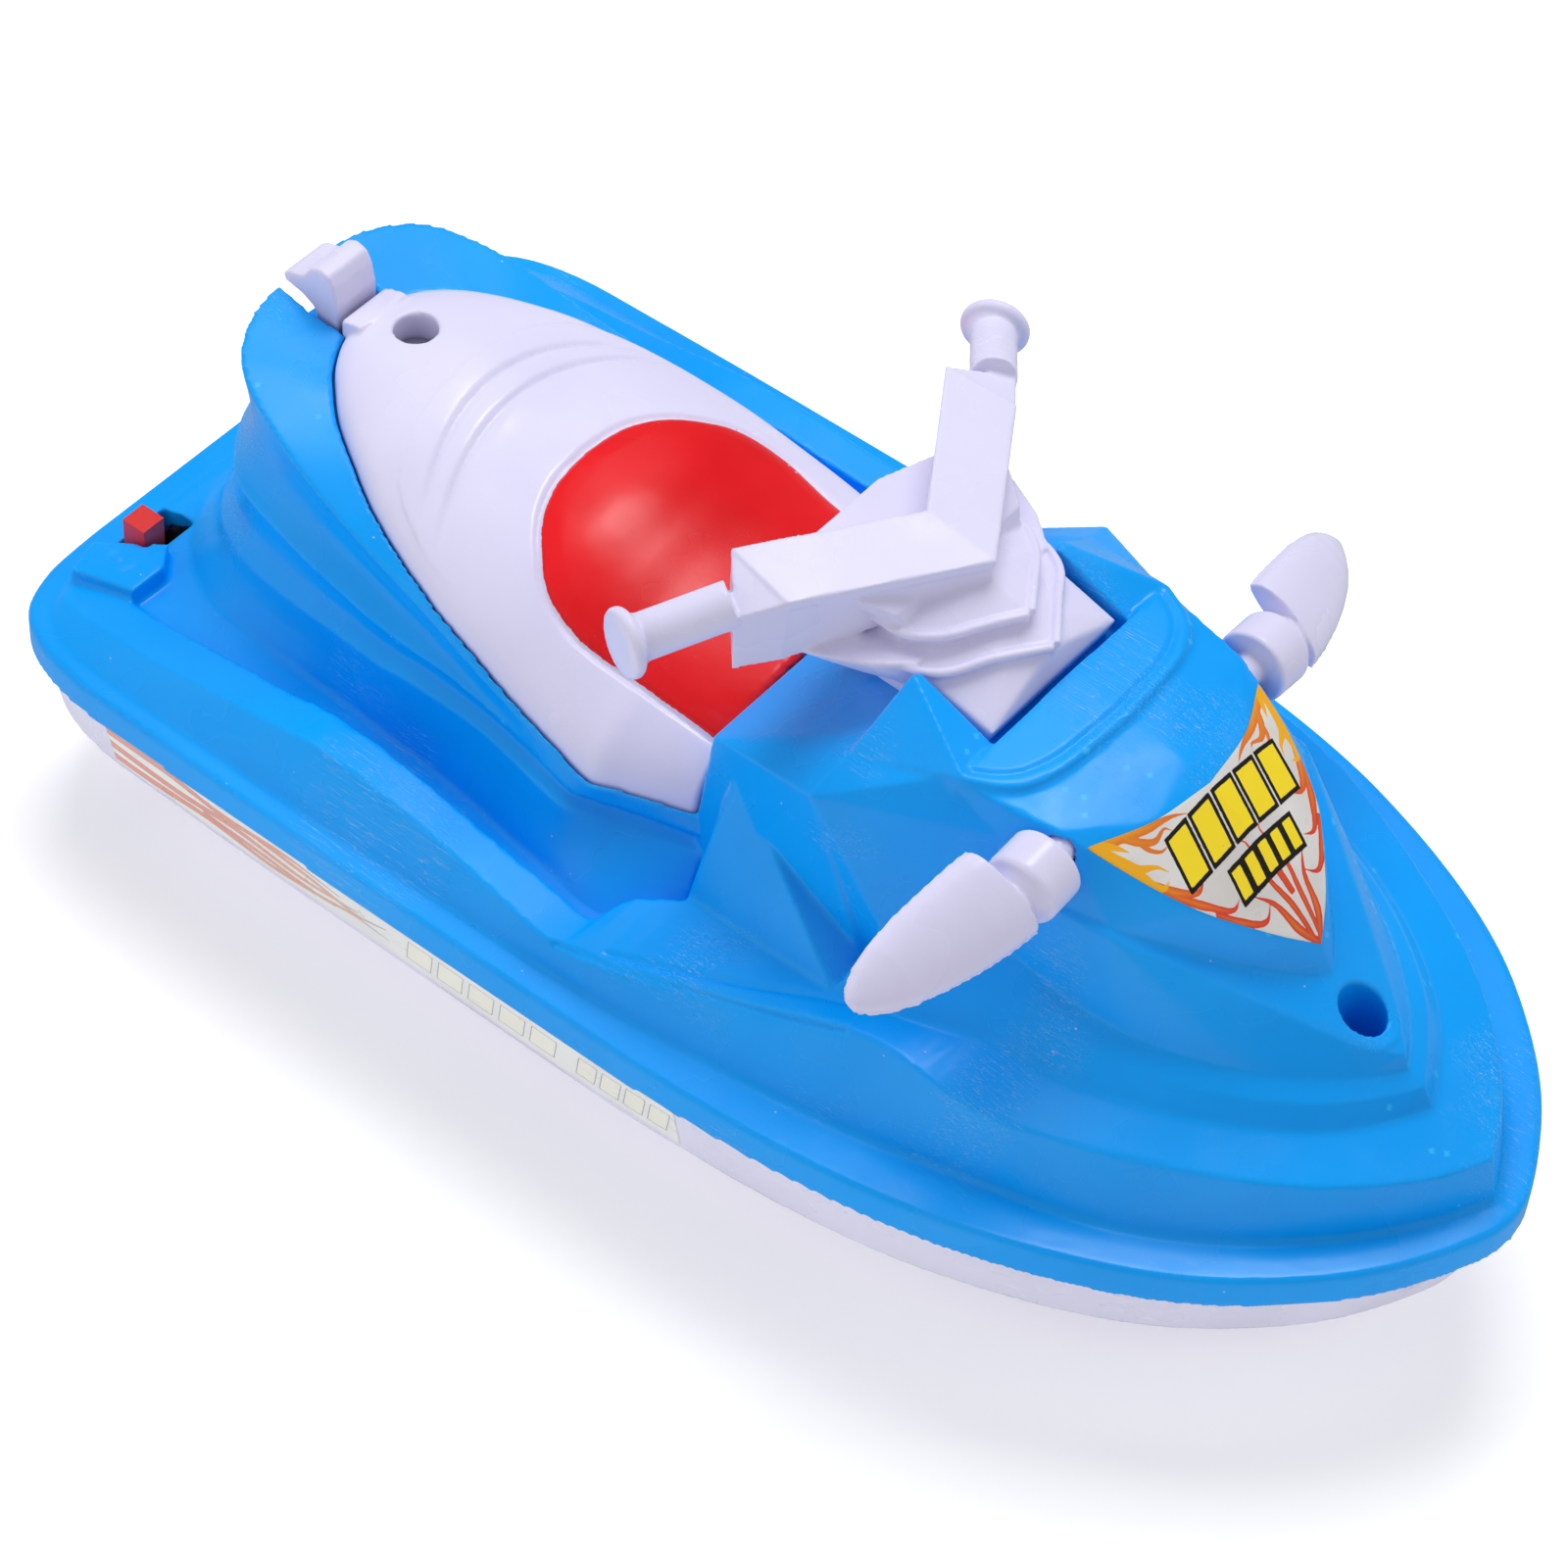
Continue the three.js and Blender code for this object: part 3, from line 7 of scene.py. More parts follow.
import bpy
import bmesh
import numpy as np
from mathutils import Matrix, Vector
from mathutils.bvhtree import BVHTree
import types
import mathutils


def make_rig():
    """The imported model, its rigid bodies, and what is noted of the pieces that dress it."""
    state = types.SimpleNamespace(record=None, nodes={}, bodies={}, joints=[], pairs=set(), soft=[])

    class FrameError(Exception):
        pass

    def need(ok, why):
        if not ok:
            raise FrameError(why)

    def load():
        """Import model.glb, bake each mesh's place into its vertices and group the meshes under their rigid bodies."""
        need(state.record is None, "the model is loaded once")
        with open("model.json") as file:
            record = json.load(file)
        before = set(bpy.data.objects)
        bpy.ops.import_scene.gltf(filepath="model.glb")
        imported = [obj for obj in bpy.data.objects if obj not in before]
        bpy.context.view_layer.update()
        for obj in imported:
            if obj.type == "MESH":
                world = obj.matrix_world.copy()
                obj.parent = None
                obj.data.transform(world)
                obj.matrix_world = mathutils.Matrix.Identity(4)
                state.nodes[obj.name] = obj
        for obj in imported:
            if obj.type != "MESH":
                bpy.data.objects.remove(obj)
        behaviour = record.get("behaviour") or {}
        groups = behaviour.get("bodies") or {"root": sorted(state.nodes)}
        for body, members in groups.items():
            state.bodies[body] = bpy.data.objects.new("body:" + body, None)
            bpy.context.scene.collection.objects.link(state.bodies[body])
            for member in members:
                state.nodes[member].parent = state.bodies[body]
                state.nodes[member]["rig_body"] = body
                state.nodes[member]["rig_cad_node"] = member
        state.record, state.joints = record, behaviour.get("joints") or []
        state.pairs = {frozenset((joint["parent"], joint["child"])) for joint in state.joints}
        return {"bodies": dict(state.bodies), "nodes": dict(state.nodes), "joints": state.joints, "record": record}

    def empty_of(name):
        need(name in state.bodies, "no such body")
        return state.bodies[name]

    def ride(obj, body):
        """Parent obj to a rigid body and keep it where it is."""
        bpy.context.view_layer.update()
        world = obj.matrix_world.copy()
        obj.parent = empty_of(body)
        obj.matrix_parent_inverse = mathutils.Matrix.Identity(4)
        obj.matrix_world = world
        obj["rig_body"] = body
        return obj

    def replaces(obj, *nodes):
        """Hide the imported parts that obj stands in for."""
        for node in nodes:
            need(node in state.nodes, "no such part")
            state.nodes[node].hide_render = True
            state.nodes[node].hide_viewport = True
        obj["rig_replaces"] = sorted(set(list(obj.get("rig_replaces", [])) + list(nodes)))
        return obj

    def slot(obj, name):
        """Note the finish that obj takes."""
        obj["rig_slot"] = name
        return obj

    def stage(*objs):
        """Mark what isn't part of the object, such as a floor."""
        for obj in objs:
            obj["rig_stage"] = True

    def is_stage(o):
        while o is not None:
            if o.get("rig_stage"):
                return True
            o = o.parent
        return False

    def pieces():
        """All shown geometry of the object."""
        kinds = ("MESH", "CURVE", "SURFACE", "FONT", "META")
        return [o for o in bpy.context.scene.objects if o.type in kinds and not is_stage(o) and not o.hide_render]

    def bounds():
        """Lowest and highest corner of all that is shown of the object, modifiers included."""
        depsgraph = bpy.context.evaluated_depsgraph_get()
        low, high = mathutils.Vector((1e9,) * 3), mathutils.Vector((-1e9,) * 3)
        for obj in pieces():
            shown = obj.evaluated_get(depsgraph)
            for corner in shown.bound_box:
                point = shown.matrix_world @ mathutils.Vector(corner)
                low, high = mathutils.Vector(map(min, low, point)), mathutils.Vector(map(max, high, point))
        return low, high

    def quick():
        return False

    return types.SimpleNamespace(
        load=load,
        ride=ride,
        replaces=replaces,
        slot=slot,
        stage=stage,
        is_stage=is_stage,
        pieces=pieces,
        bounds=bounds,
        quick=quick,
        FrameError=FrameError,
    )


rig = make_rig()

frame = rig.load()
CAD_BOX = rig.bounds()

MM = 0.001
DEPTH = 25.0  # parting line above the floor
HALF_LENGTH, HALF_BEAM = 110, 55.4  # of the deck rim
WELL_FLOOR = 7.0

# Places in plan (x, y) of the screws, and their radii
BOW_SCREW, BOW_HEAD_R = (82.0, 0.0), 3.35
SEAT_SCREW, SEAT_HEAD_R = (-77.6, 0.0), 3.15
PORT_SCREW, STARBOARD_SCREW = (-97, 40.5), (-90, -44.5)
PILOT_R = 1.75

# The handlebar's square stem and the gap round it in its socket
STEM_X, STEM_HALF_Y, STEM_GAP = (6.8, 15.2), 4.9, 0.4

# ------------------------------------------------------ deck outlines, port half
# Each runs from the stern to the bow: (x, y) or (x, y, z)
RIM = [
    (-110, 0), (-110, 30), (-109.6, 39.5), (-108.7, 43.8), (-107, 47.8), (-103.9, 50.7),
    (-100.1, 52.5), (-96, 53.6), (-90, 54.4), (-75, 54.8), (-60, 55.1), (-30, 55.3), (0, 55.4),
    (25, 54.2), (38, 52.6), (50, 50.2), (60, 47.1), (70, 43.1), (78, 39.1), (85, 34.6),
    (91, 29.6), (97, 23.6), (101.5, 17.9), (104.9, 12.2), (107.5, 6.8), (108.8, 3.2), (109.2, 0)]
TIER_FOOT = [
    (-106.3, 0), (-106.3, 38), (-105.2, 44), (-102.6, 47.9), (-99, 49.9), (-94, 51),
    (-87, 51.5), (-78, 51.7), (-60, 51.7), (-34, 51.5), (-16, 51.2), (0, 50.6), (15, 49),
    (35, 46), (54, 41.2), (64.2, 38.4), (73.2, 34.6), (85, 26.8), (95.3, 16.6), (102.3, 6.8),
    (105.7, 0)]
TIER_EDGE = [
    (-105.5, 0, 6), (-105.5, 36, 6), (-104.6, 41.5, 6.4), (-102.5, 45.2, 7.2), (-96, 46.3, 8),
    (-90, 46.7, 8.7), (-84, 47, 9.3), (-72, 46.8, 10.9), (-60, 46.9, 12.9), (-54, 46.8, 13.7),
    (-48, 47, 13.7), (-42, 47.2, 13.3), (-36, 47.4, 12.6), (-28, 48, 11.8), (-20, 48.8, 10.9),
    (-12, 49.6, 10.2), (-6.4, 49.4, 10.4), (3.4, 47.6, 12), (16, 44.6, 14.8),
    (31.5, 41.2, 18.5), (38, 40.4, 18.8), (45, 40.4, 17.8), (52, 39.6, 16.5), (61.3, 36.4, 16),
    (70.2, 32.2, 15.5), (80.2, 26.8, 15), (90, 19.7, 14.2), (97.2, 12.1, 13.6),
    (101, 6.6, 13.1), (104.1, 0, 12.7)]
TIER_INNER = [
    (-104.5, 0, 6), (-104.5, 34, 6), (-103.8, 38, 6.3), (-101.8, 41.2, 7), (-96, 41.2, 8),
    (-88, 41, 8.9), (-77, 40.8, 10.2), (-65, 41.1, 12.1), (-57, 40.8, 13.2), (-48, 41.2, 13.7),
    (-36, 41.8, 12.6), (-25, 42.6, 11.5), (-15, 43.2, 10.5), (-9, 43.8, 10.1),
    (-6.2, 38.7, 12), (-2.7, 36, 12.5), (0.5, 34.2, 13), (6.6, 34.8, 14), (15.5, 35.8, 15.6),
    (26, 37.2, 17.6), (36, 35, 18.6), (46.5, 31, 18.5), (56.1, 29.8, 18), (65.7, 26.6, 17.5),
    (74.5, 22.3, 17), (84.1, 15.4, 16.2), (89.2, 9.9, 15.7), (94.6, 0, 15)]
# Footwell: its outer wall at the floor and at the top, where it follows the tier
WELL_OUTER = [
    (-104, 0), (-104, 33), (-102.4, 37.5), (-99, 39.4), (-88, 40.4), (-77, 40.3), (-65, 40.5),
    (-57, 40.2), (-48, 40.6), (-36, 41.2), (-25, 42), (-15, 42.6), (-9.6, 43.2), (-6.6, 38.4),
    (-3, 35.6), (-0.2, 33.6)]
WELL_TOP = [(-104.6, 0), (-104.6, 34), (-103.2, 38.6), (-100.8, 41.2)]
WELL_TOP += [(x, y) for x, y, z in TIER_INNER[5:17]]
WELL_INNER = [
    (-103.5, 0), (-103, 10), (-101.5, 18), (-99.3, 22.6), (-93.9, 28.6), (-88.5, 31.6),
    (-83, 33), (-75, 33.6), (-62, 34), (-47.7, 34.8), (-35.6, 36.2), (-28.5, 37.4),
    (-20, 38.6), (-11.3, 40.1), (-4, 36.4), (-1, 33.2)]
# Tail under the seat, from the ledge above the footwell up to the seat's edge
LEDGE = [
    (-101, 0, 12), (-100.5, 9, 12), (-98.5, 16, 12.3), (-93.2, 23.3, 13), (-86, 27.5, 13.8),
    (-79.6, 29.4, 14.5), (-72, 30.4, 15), (-64, 31.2, 15.6), (-56.4, 32, 16),
    (-49.5, 32.3, 17), (-41.3, 32.3, 17), (-32.3, 33.2, 16.6), (-25.7, 34.3, 16.2),
    (-22.2, 34.5, 15.5), (-18, 32.6, 14.6), (-14, 30.8, 14), (-6, 28.6, 14), (-3.1, 28, 14)]
FLUTE = [
    (-99.5, 0, 24), (-99, 8, 24), (-97.3, 14, 23.5), (-93.5, 20, 23), (-89.7, 23.6, 22.7),
    (-86, 25.2, 22.7), (-79.5, 27.1, 23), (-71.7, 28.7, 22.5), (-65.3, 29.5, 22),
    (-59.7, 30.2, 21.5), (-53, 30.8, 21.5), (-47.5, 31, 21.7), (-39, 31.5, 21),
    (-30, 32.3, 19.6), (-22, 33.2, 17.6), (-19, 32.2, 17), (-14, 30.2, 16.6), (-4, 27.4, 16.5)]
TAIL_TOP = [
    (-98.7, 0, 41.2), (-98.3, 6, 41), (-97, 12, 40.8), (-95, 16, 40.3), (-93, 18.5, 39.9),
    (-90, 20.7, 39.1), (-87, 22.1, 38.3), (-84, 23.2, 37.5), (-81, 24.1, 36.5),
    (-78, 24.9, 35.4), (-70.5, 26.2, 32.9), (-62, 27.5, 30.6), (-54, 28.6, 28.8),
    (-46, 29.9, 27), (-39, 30.9, 25.3), (-33, 31.4, 23.7), (-27, 31.9, 22.3),
    (-19.5, 32.4, 19.9), (-14, 30, 19.5), (-4.6, 26.4, 18.9)]
SEAT_EDGE = [
    (-87, 0, 38.9), (-86.3, 5, 38.6), (-84, 9.8, 38.1), (-81, 13.1, 37.5), (-78, 15.8, 36.5),
    (-75, 17.8, 35.9), (-72, 19.5, 35.2), (-66, 22.7, 33.4), (-60, 25, 31.7), (-54, 26.9, 30.3),
    (-48, 28.4, 28.7), (-42, 29.4, 27.1), (-36, 30.3, 25), (-30, 31, 23.2), (-25, 31.5, 21.7),
    (-19.8, 31.8, 20), (-15, 29.9, 19.6), (-5.5, 26.2, 19)]
SEAT_OPENING = [
    (-71, 0), (-71, 16), (-66, 19.4), (-54, 23.6), (-42, 26.2), (-30, 27.8), (-20.5, 28.4),
    (-15, 26.2), (-8.6, 23.4), (-8.6, 0)]
# Two steps and the hood over the bow
LOWER_STEP_INNER = [
    (43.7, 24.1, 27.5), (51, 24.2, 25), (59.5, 22.9, 23.5), (66.8, 20.6, 22.4),
    (75.4, 16.2, 21.3), (81, 11.9, 20.5), (86.1, 6.4, 19.8), (90.3, 0, 19.1)]
LOWER_STEP_OUTER = [
    (45, 28.5, 22.6), (50.9, 27.4, 22.2), (59, 26.1, 21.5), (68.4, 22.7, 20.8),
    (76.9, 18, 20), (84.2, 12.1, 19.2), (88.9, 6.1, 18.5), (92.6, 0, 18)]
UPPER_STEP_TOP = [
    (56, 21.6, 38.3), (63, 17.8, 33.8), (71.8, 13, 29.5), (80, 7.5, 25.5), (84.3, 4.6, 23.7),
    (89.2, 0, 21.5)]
UPPER_STEP_FOOT = [
    (51, 23.9, 25), (59.5, 22.6, 23.6), (66.8, 20.2, 22.5), (75.4, 15.9, 21.4),
    (81, 11.6, 20.6), (86.1, 6.1, 19.8), (89.9, 0, 19.2)]
HOOD_FOOT = [(56, 20.5, 38.3), (61.5, 15.8, 34.5), (69.2, 9.4, 30.4), (74.7, 4.3, 27), (78.2, 0, 25.2)]
BROW = [(32.3, 22.1, 50.6), (36.4, 20, 50.4), (39.3, 17, 50.6), (41.2, 10.6, 51), (42, 0, 51.2)]
HOOD_TOP = [(49.2, 18.6, 47.2), (53.5, 8.8, 48), (54.8, 0, 48)]
HOOD_SIDE = [
    (49.2, 18.6, 47.2), (55.1, 16.8, 45), (59, 15.1, 43), (64.5, 12, 40.3), (68, 8.7, 37.8),
    (72, 4.2, 34.5), (74.7, 0, 31.5)]
HOOD_RIDGE = [
    (42, 0, 50.3), (50, 0, 49.4), (54.8, 0, 48), (60, 0, 44.8), (66, 0, 40.5), (71, 0, 36),
    (74.7, 0, 31.5)]


# ------------------------------------------------------------------ curve tools
def as_array(points):
    """rows of x, y, z, with z = 0 for points in plan"""
    return np.array([(*p[:2], p[2] if len(p) > 2 else 0.0) for p in points], float)


def chord_length(points):
    chords = np.linalg.norm(np.diff(points, axis=0), axis=1)
    return np.concatenate([[0], np.cumsum(chords)])


def smooth_curve(points, count):
    """count points along a shape-preserving cubic, even in chord length"""
    knots = as_array(points)
    reach = chord_length(knots)
    gap = np.diff(reach)[:, None]
    slope = np.diff(knots, axis=0) / gap
    before, after = 2 * gap[1:] + gap[:-1], gap[1:] + 2 * gap[:-1]
    with np.errstate(divide="ignore", invalid="ignore"):
        harmonic = (before + after) / (before / slope[:-1] + after / slope[1:])
    tangent = np.zeros_like(knots)
    tangent[1:-1] = np.where(slope[:-1] * slope[1:] > 0, np.nan_to_num(harmonic), 0)
    tangent[0], tangent[-1] = slope[0], slope[-1]
    at = np.linspace(0, reach[-1], count)
    k = np.clip(np.searchsorted(reach, at, side="right") - 1, 0, len(knots) - 2)
    gap = gap[k]
    t = (at - reach[k])[:, None] / gap
    return ((1 + 2 * t) * (1 - t) ** 2 * knots[k] + t * (1 - t) ** 2 * gap * tangent[k]
            + t * t * (3 - 2 * t) * knots[k + 1] + t * t * (t - 1) * gap * tangent[k + 1])


def at_fractions(curve, fractions):
    reach = chord_length(curve)
    reach /= reach[-1]
    return np.stack([np.interp(fractions, reach, curve[:, axis]) for axis in range(3)], 1)


def stations(outline, stern_count, side_x, bow_fractions):
    """an outline sampled along its stern, at fixed x down its side, then along its bow"""
    curve = smooth_curve(outline, 1500)
    curve[:, 0] = np.maximum.accumulate(curve[:, 0])
    side = np.array([[x, np.interp(x, curve[:, 0], curve[:, 1]),
                      np.interp(x, curve[:, 0], curve[:, 2])] for x in side_x])
    stern = np.vstack([curve[curve[:, 0] < side_x[0]], side[0]])
    bow = np.vstack([side[-1], curve[curve[:, 0] > side_x[-1]]])
    stern = at_fractions(stern, np.linspace(0, 1, stern_count + 1))[:-1]
    return np.vstack([stern, side, at_fractions(bow, bow_fractions)])


def at_height(curve, z):
    curve = as_array(curve)
    curve[:, 2] = z
    return curve


def raised(curve, rise):
    curve = as_array(curve)
    curve[:, 2] += rise
    return curve


def inset(curve, distance):
    """moves a half outline inwards in plan, keeping its ends on the centre line"""
    curve = as_array(curve)
    moved = curve.copy()
    last = len(curve) - 1
    for i in range(last + 1):
        before, after = curve[max(i - 1, 0)], curve[min(i + 1, last)]
        dx, dy = after[0] - before[0], after[1] - before[1]
        if i == 0 and curve[i, 1] < 1e-6:
            dx, dy = 0, 1
        if i == last and curve[i, 1] < 1e-6:
            dx, dy = 0, -1
        length = math.hypot(dx, dy) or 1
        moved[i, 0] += distance * dy / length
        moved[i, 1] = max(curve[i, 1] - distance * dx / length, 0)
    return moved


def blend(curve_a, curve_b, t):
    return curve_a * (1 - t) + curve_b * t


def on_side(points, side):
    """points drawn to port, on port (1) or starboard (-1)"""
    return [(x, side * y, z) for x, y, z in points]


def both_sides(points):
    points = [tuple(map(float, p)) for p in points]
    return points + [(x, -y, z) for x, y, z in points if abs(y) > 1e-6]


def dense(outline, count=40):
    return list(smooth_curve(outline, count))


# ------------------------------------------------------------------- mesh tools
def link_object(mesh, name):
    ob = bpy.data.objects.new(name, mesh)
    bpy.context.scene.collection.objects.link(ob)
    return ob


def new_object(verts, faces, name="piece"):
    mesh = bpy.data.meshes.new(name)
    mesh.from_pydata([tuple(map(float, v)) for v in verts], [], [tuple(f) for f in faces])
    return link_object(mesh, name)


def save_outward(bm, mesh):
    """turns the faces outward and writes the mesh"""
    bmesh.ops.recalc_face_normals(bm, faces=bm.faces)
    if bm.calc_volume(signed=True) < 0:
        bmesh.ops.reverse_faces(bm, faces=bm.faces)
    bm.to_mesh(mesh)
    bm.free()


def clean(ob, merge=1e-4):
    bm = bmesh.new()
    bm.from_mesh(ob.data)
    bmesh.ops.remove_doubles(bm, verts=bm.verts, dist=merge)
    bmesh.ops.dissolve_degenerate(bm, edges=bm.edges, dist=merge)
    loose = [v for v in bm.verts if not v.link_faces]
    bmesh.ops.delete(bm, geom=loose, context="VERTS")
    save_outward(bm, ob.data)
    return ob


def ring_solid(rings):
    """a symmetric solid from stacked half outlines, lowest first"""
    levels, count = len(rings), len(rings[0])
    verts = []
    for ring in rings:
        for x, y, z in ring:
            y = max(y, 0)
            verts += [(x, -y, z), (x, y, z)]

    def star(k, i):
        return (k * count + i) * 2

    def port(k, i):
        return star(k, i) + 1

    faces = []
    end, top = count - 1, levels - 1
    for k in range(top):
        for i in range(end):
            faces.append((star(k, i), star(k, i + 1), star(k + 1, i + 1), star(k + 1, i)))
            faces.append((port(k, i + 1), port(k, i), port(k + 1, i), port(k + 1, i + 1)))
        faces.append((port(k, 0), star(k, 0), star(k + 1, 0), port(k + 1, 0)))
        faces.append((star(k, end), port(k, end), port(k + 1, end), star(k + 1, end)))
    for i in range(end):
        faces.append((port(0, i), port(0, i + 1), star(0, i + 1), star(0, i)))
        faces.append((star(top, i), star(top, i + 1), port(top, i + 1), port(top, i)))
    return clean(new_object(verts, faces), 1e-3)


def convex(points):
    """the convex solid round a set of points"""
    bm = bmesh.new()
    for point in points:
        bm.verts.new(tuple(map(float, point)))
    result = bmesh.ops.convex_hull(bm, input=bm.verts)
    inside = {g for g in result["geom_interior"] + result["geom_unused"]
              if isinstance(g, bmesh.types.BMVert)}
    bmesh.ops.delete(bm, geom=list(inside), context="VERTS")
    mesh = bpy.data.meshes.new("piece")
    bm.to_mesh(mesh)
    bm.free()
    return clean(link_object(mesh, "piece"))


def convex_pair(points):
    return [convex(on_side(points, side)) for side in (1, -1)]


def box(x0, x1, y0, y1, z0, z1):
    return convex([(x, y, z) for x in (x0, x1) for y in (y0, y1) for z in (z0, z1)])


def skin(loops, place=Matrix()):
    """a closed solid through loops of equal length, capped at both ends"""
    count = len(loops[0])
    faces = []
    for k in range(len(loops) - 1):
        for i in range(count):
            j = (i + 1) % count
            faces.append((k * count + i, k * count + j, (k + 1) * count + j, (k + 1) * count + i))
    last = (len(loops) - 1) * count
    faces.append(tuple(range(count))[::-1])
    faces.append(tuple(last + i for i in range(count)))
    ob = new_object([p for loop in loops for p in loop], faces)
    ob.data.transform(place)
    return clean(ob)


def angles(count):
    return [2 * math.pi * i / count for i in range(count)]


def lathe(profile, place, segments=64):
    """a profile of (radius, height) turned about +Z, then placed"""
    return skin([[(r * math.cos(a), r * math.sin(a), z) for a in angles(segments)]
                 for r, z in profile], place)


def facing(origin, direction):
    """the placement that takes +Z to a direction"""
    turn = direction.to_track_quat("Z", "Y").to_matrix().to_4x4()
    return Matrix.Translation(origin) @ turn


def rod(start, end, radius, segments=48):
    start, end = Vector(start), Vector(end)
    axis = end - start
    return lathe([(radius, 0), (radius, axis.length)], facing(start, axis), segments)


def post(place, low, high, radius, segments=48):
    """an upright rod at a place in plan"""
    return rod((*place, low), (*place, high), radius, segments)


def bead(points, radii, segments=16, steps=40):
    """a round bead along a smooth curve, its radius changing through radii"""
    curve = smooth_curve(points, steps)
    radius = np.interp(np.linspace(0, 1, steps), np.linspace(0, 1, len(radii)), radii)
    tangent = np.gradient(curve, axis=0)
    tangent /= np.linalg.norm(tangent, axis=1, keepdims=True)
    across = np.cross(tangent, [0, 0, 1.0])
    across /= np.linalg.norm(across, axis=1, keepdims=True)
    above = np.cross(across, tangent)
    return skin([[curve[k] + radius[k] * (math.cos(a) * across[k] + math.sin(a) * above[k])
                  for a in angles(segments)] for k in range(steps)])


def apply_all(ob):
    depsgraph = bpy.context.evaluated_depsgraph_get()
    depsgraph.update()
    old = ob.data
    mesh = bpy.data.meshes.new_from_object(ob.evaluated_get(depsgraph))
    ob.modifiers.clear()
    ob.data = mesh
    bpy.data.meshes.remove(old)


def manifold(ob):
    edges = np.zeros(len(ob.data.loops), np.int32)
    ob.data.loops.foreach_get("edge_index", edges)
    uses = np.bincount(edges, minlength=len(ob.data.edges))
    return len(edges) > 0 and bool((uses == 2).all())


def boolean(ob, tool, operation):
    """applies one boolean and uses up its tool; open meshes need the exact solver"""
    modifier = ob.modifiers.new("boolean", "BOOLEAN")
    modifier.operation, modifier.object = operation, tool
    modifier.solver = "MANIFOLD" if manifold(ob) and manifold(tool) else "EXACT"
    apply_all(ob)
    mesh = tool.data
    bpy.data.objects.remove(tool)
    bpy.data.meshes.remove(mesh)


def union(obs):
    for tool in obs[1:]:
        boolean(obs[0], tool, "UNION")
    return obs[0]


def cut(ob, *tools):
    for tool in tools:
        boolean(ob, tool, "DIFFERENCE")
    return ob


def voxel(fine, coarse):
    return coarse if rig.quick() else fine


def soften(ob, voxel_size, smoothing):
    """remeshes and smooths a solid, keeping only its largest shell"""
    modifier = ob.modifiers.new("remesh", "REMESH")
    modifier.mode, modifier.voxel_size = "VOXEL", voxel_size
    modifier.use_smooth_shade = True
    apply_all(ob)
    modifier = ob.modifiers.new("smooth", "SMOOTH")
    modifier.factor, modifier.iterations = 0.5, smoothing
    apply_all(ob)
    bm = bmesh.new()
    bm.from_mesh(ob.data)
    seen = np.zeros(len(bm.verts), bool)
    shells = []
    for start in bm.verts:
        if seen[start.index]:
            continue
        seen[start.index] = True
        stack, shell = [start], []
        while stack:
            vert = stack.pop()
            shell.append(vert)
            for edge in vert.link_edges:
                other = edge.other_vert(vert)
                if not seen[other.index]:
                    seen[other.index] = True
                    stack.append(other)
        shells.append(shell)
    shells.sort(key=len, reverse=True)
    strays = [vert for shell in shells[1:] for vert in shell]
    if strays:
        bmesh.ops.delete(bm, geom=strays, context="VERTS")
    bm.to_mesh(ob.data)
    bm.free()
    return ob


def finish(ob, name, body, node, slot, material):
    """takes a piece to the row frame, names it and puts it on its body"""
    ob.name = name
    ob.data.name = name
    ob.data.transform(Matrix.Scale(MM, 4) @ Matrix.Translation((0, 0, DEPTH)))
    for polygon in ob.data.polygons:
        polygon.use_smooth = True
    ob.data.materials.clear()
    ob.data.materials.append(material)
    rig.replaces(ob, node)
    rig.slot(ob, slot)
    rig.ride(ob, body)


def read_mesh(ob):
    """vertex places and normals"""
    arrays = []
    for key in ("co", "normal"):
        values = np.zeros(len(ob.data.vertices) * 3)
        ob.data.vertices.foreach_get(key, values)
        arrays.append(values.reshape(-1, 3))
    return arrays


def write_mesh(ob, places):
    ob.data.vertices.foreach_set("co", places.ravel())
    ob.data.update()


def press(ob, grooves):
    """presses fine lines into a moulding, each given as (line, depth, width)"""
    places, normals = read_mesh(ob)
    move = np.zeros(len(places))
    for line, depth, width in grooves:
        reach = 4 * width
        near = ((places > line.min(0) - reach) & (places < line.max(0) + reach)).all(1)
        candidates = places[near]
        distance = np.full(len(candidates), 1e9)
        for point in line:
            distance = np.minimum(distance, np.linalg.norm(candidates - point, axis=1))
        move[near] -= depth * np.exp(-(distance / width) ** 2)
    write_mesh(ob, places + normals * move[:, None])


def surface_tree(ob):
    return BVHTree.FromObject(ob, bpy.context.evaluated_depsgraph_get())


# -------------------------------------------------------------------- materials
def srgb(*rgb):
    linear = [(c / 255 / 12.92) if c / 255 <= 0.04045 else ((c / 255 + 0.055) / 1.055) ** 2.4
              for c in rgb]
    return (*linear, 1.0)


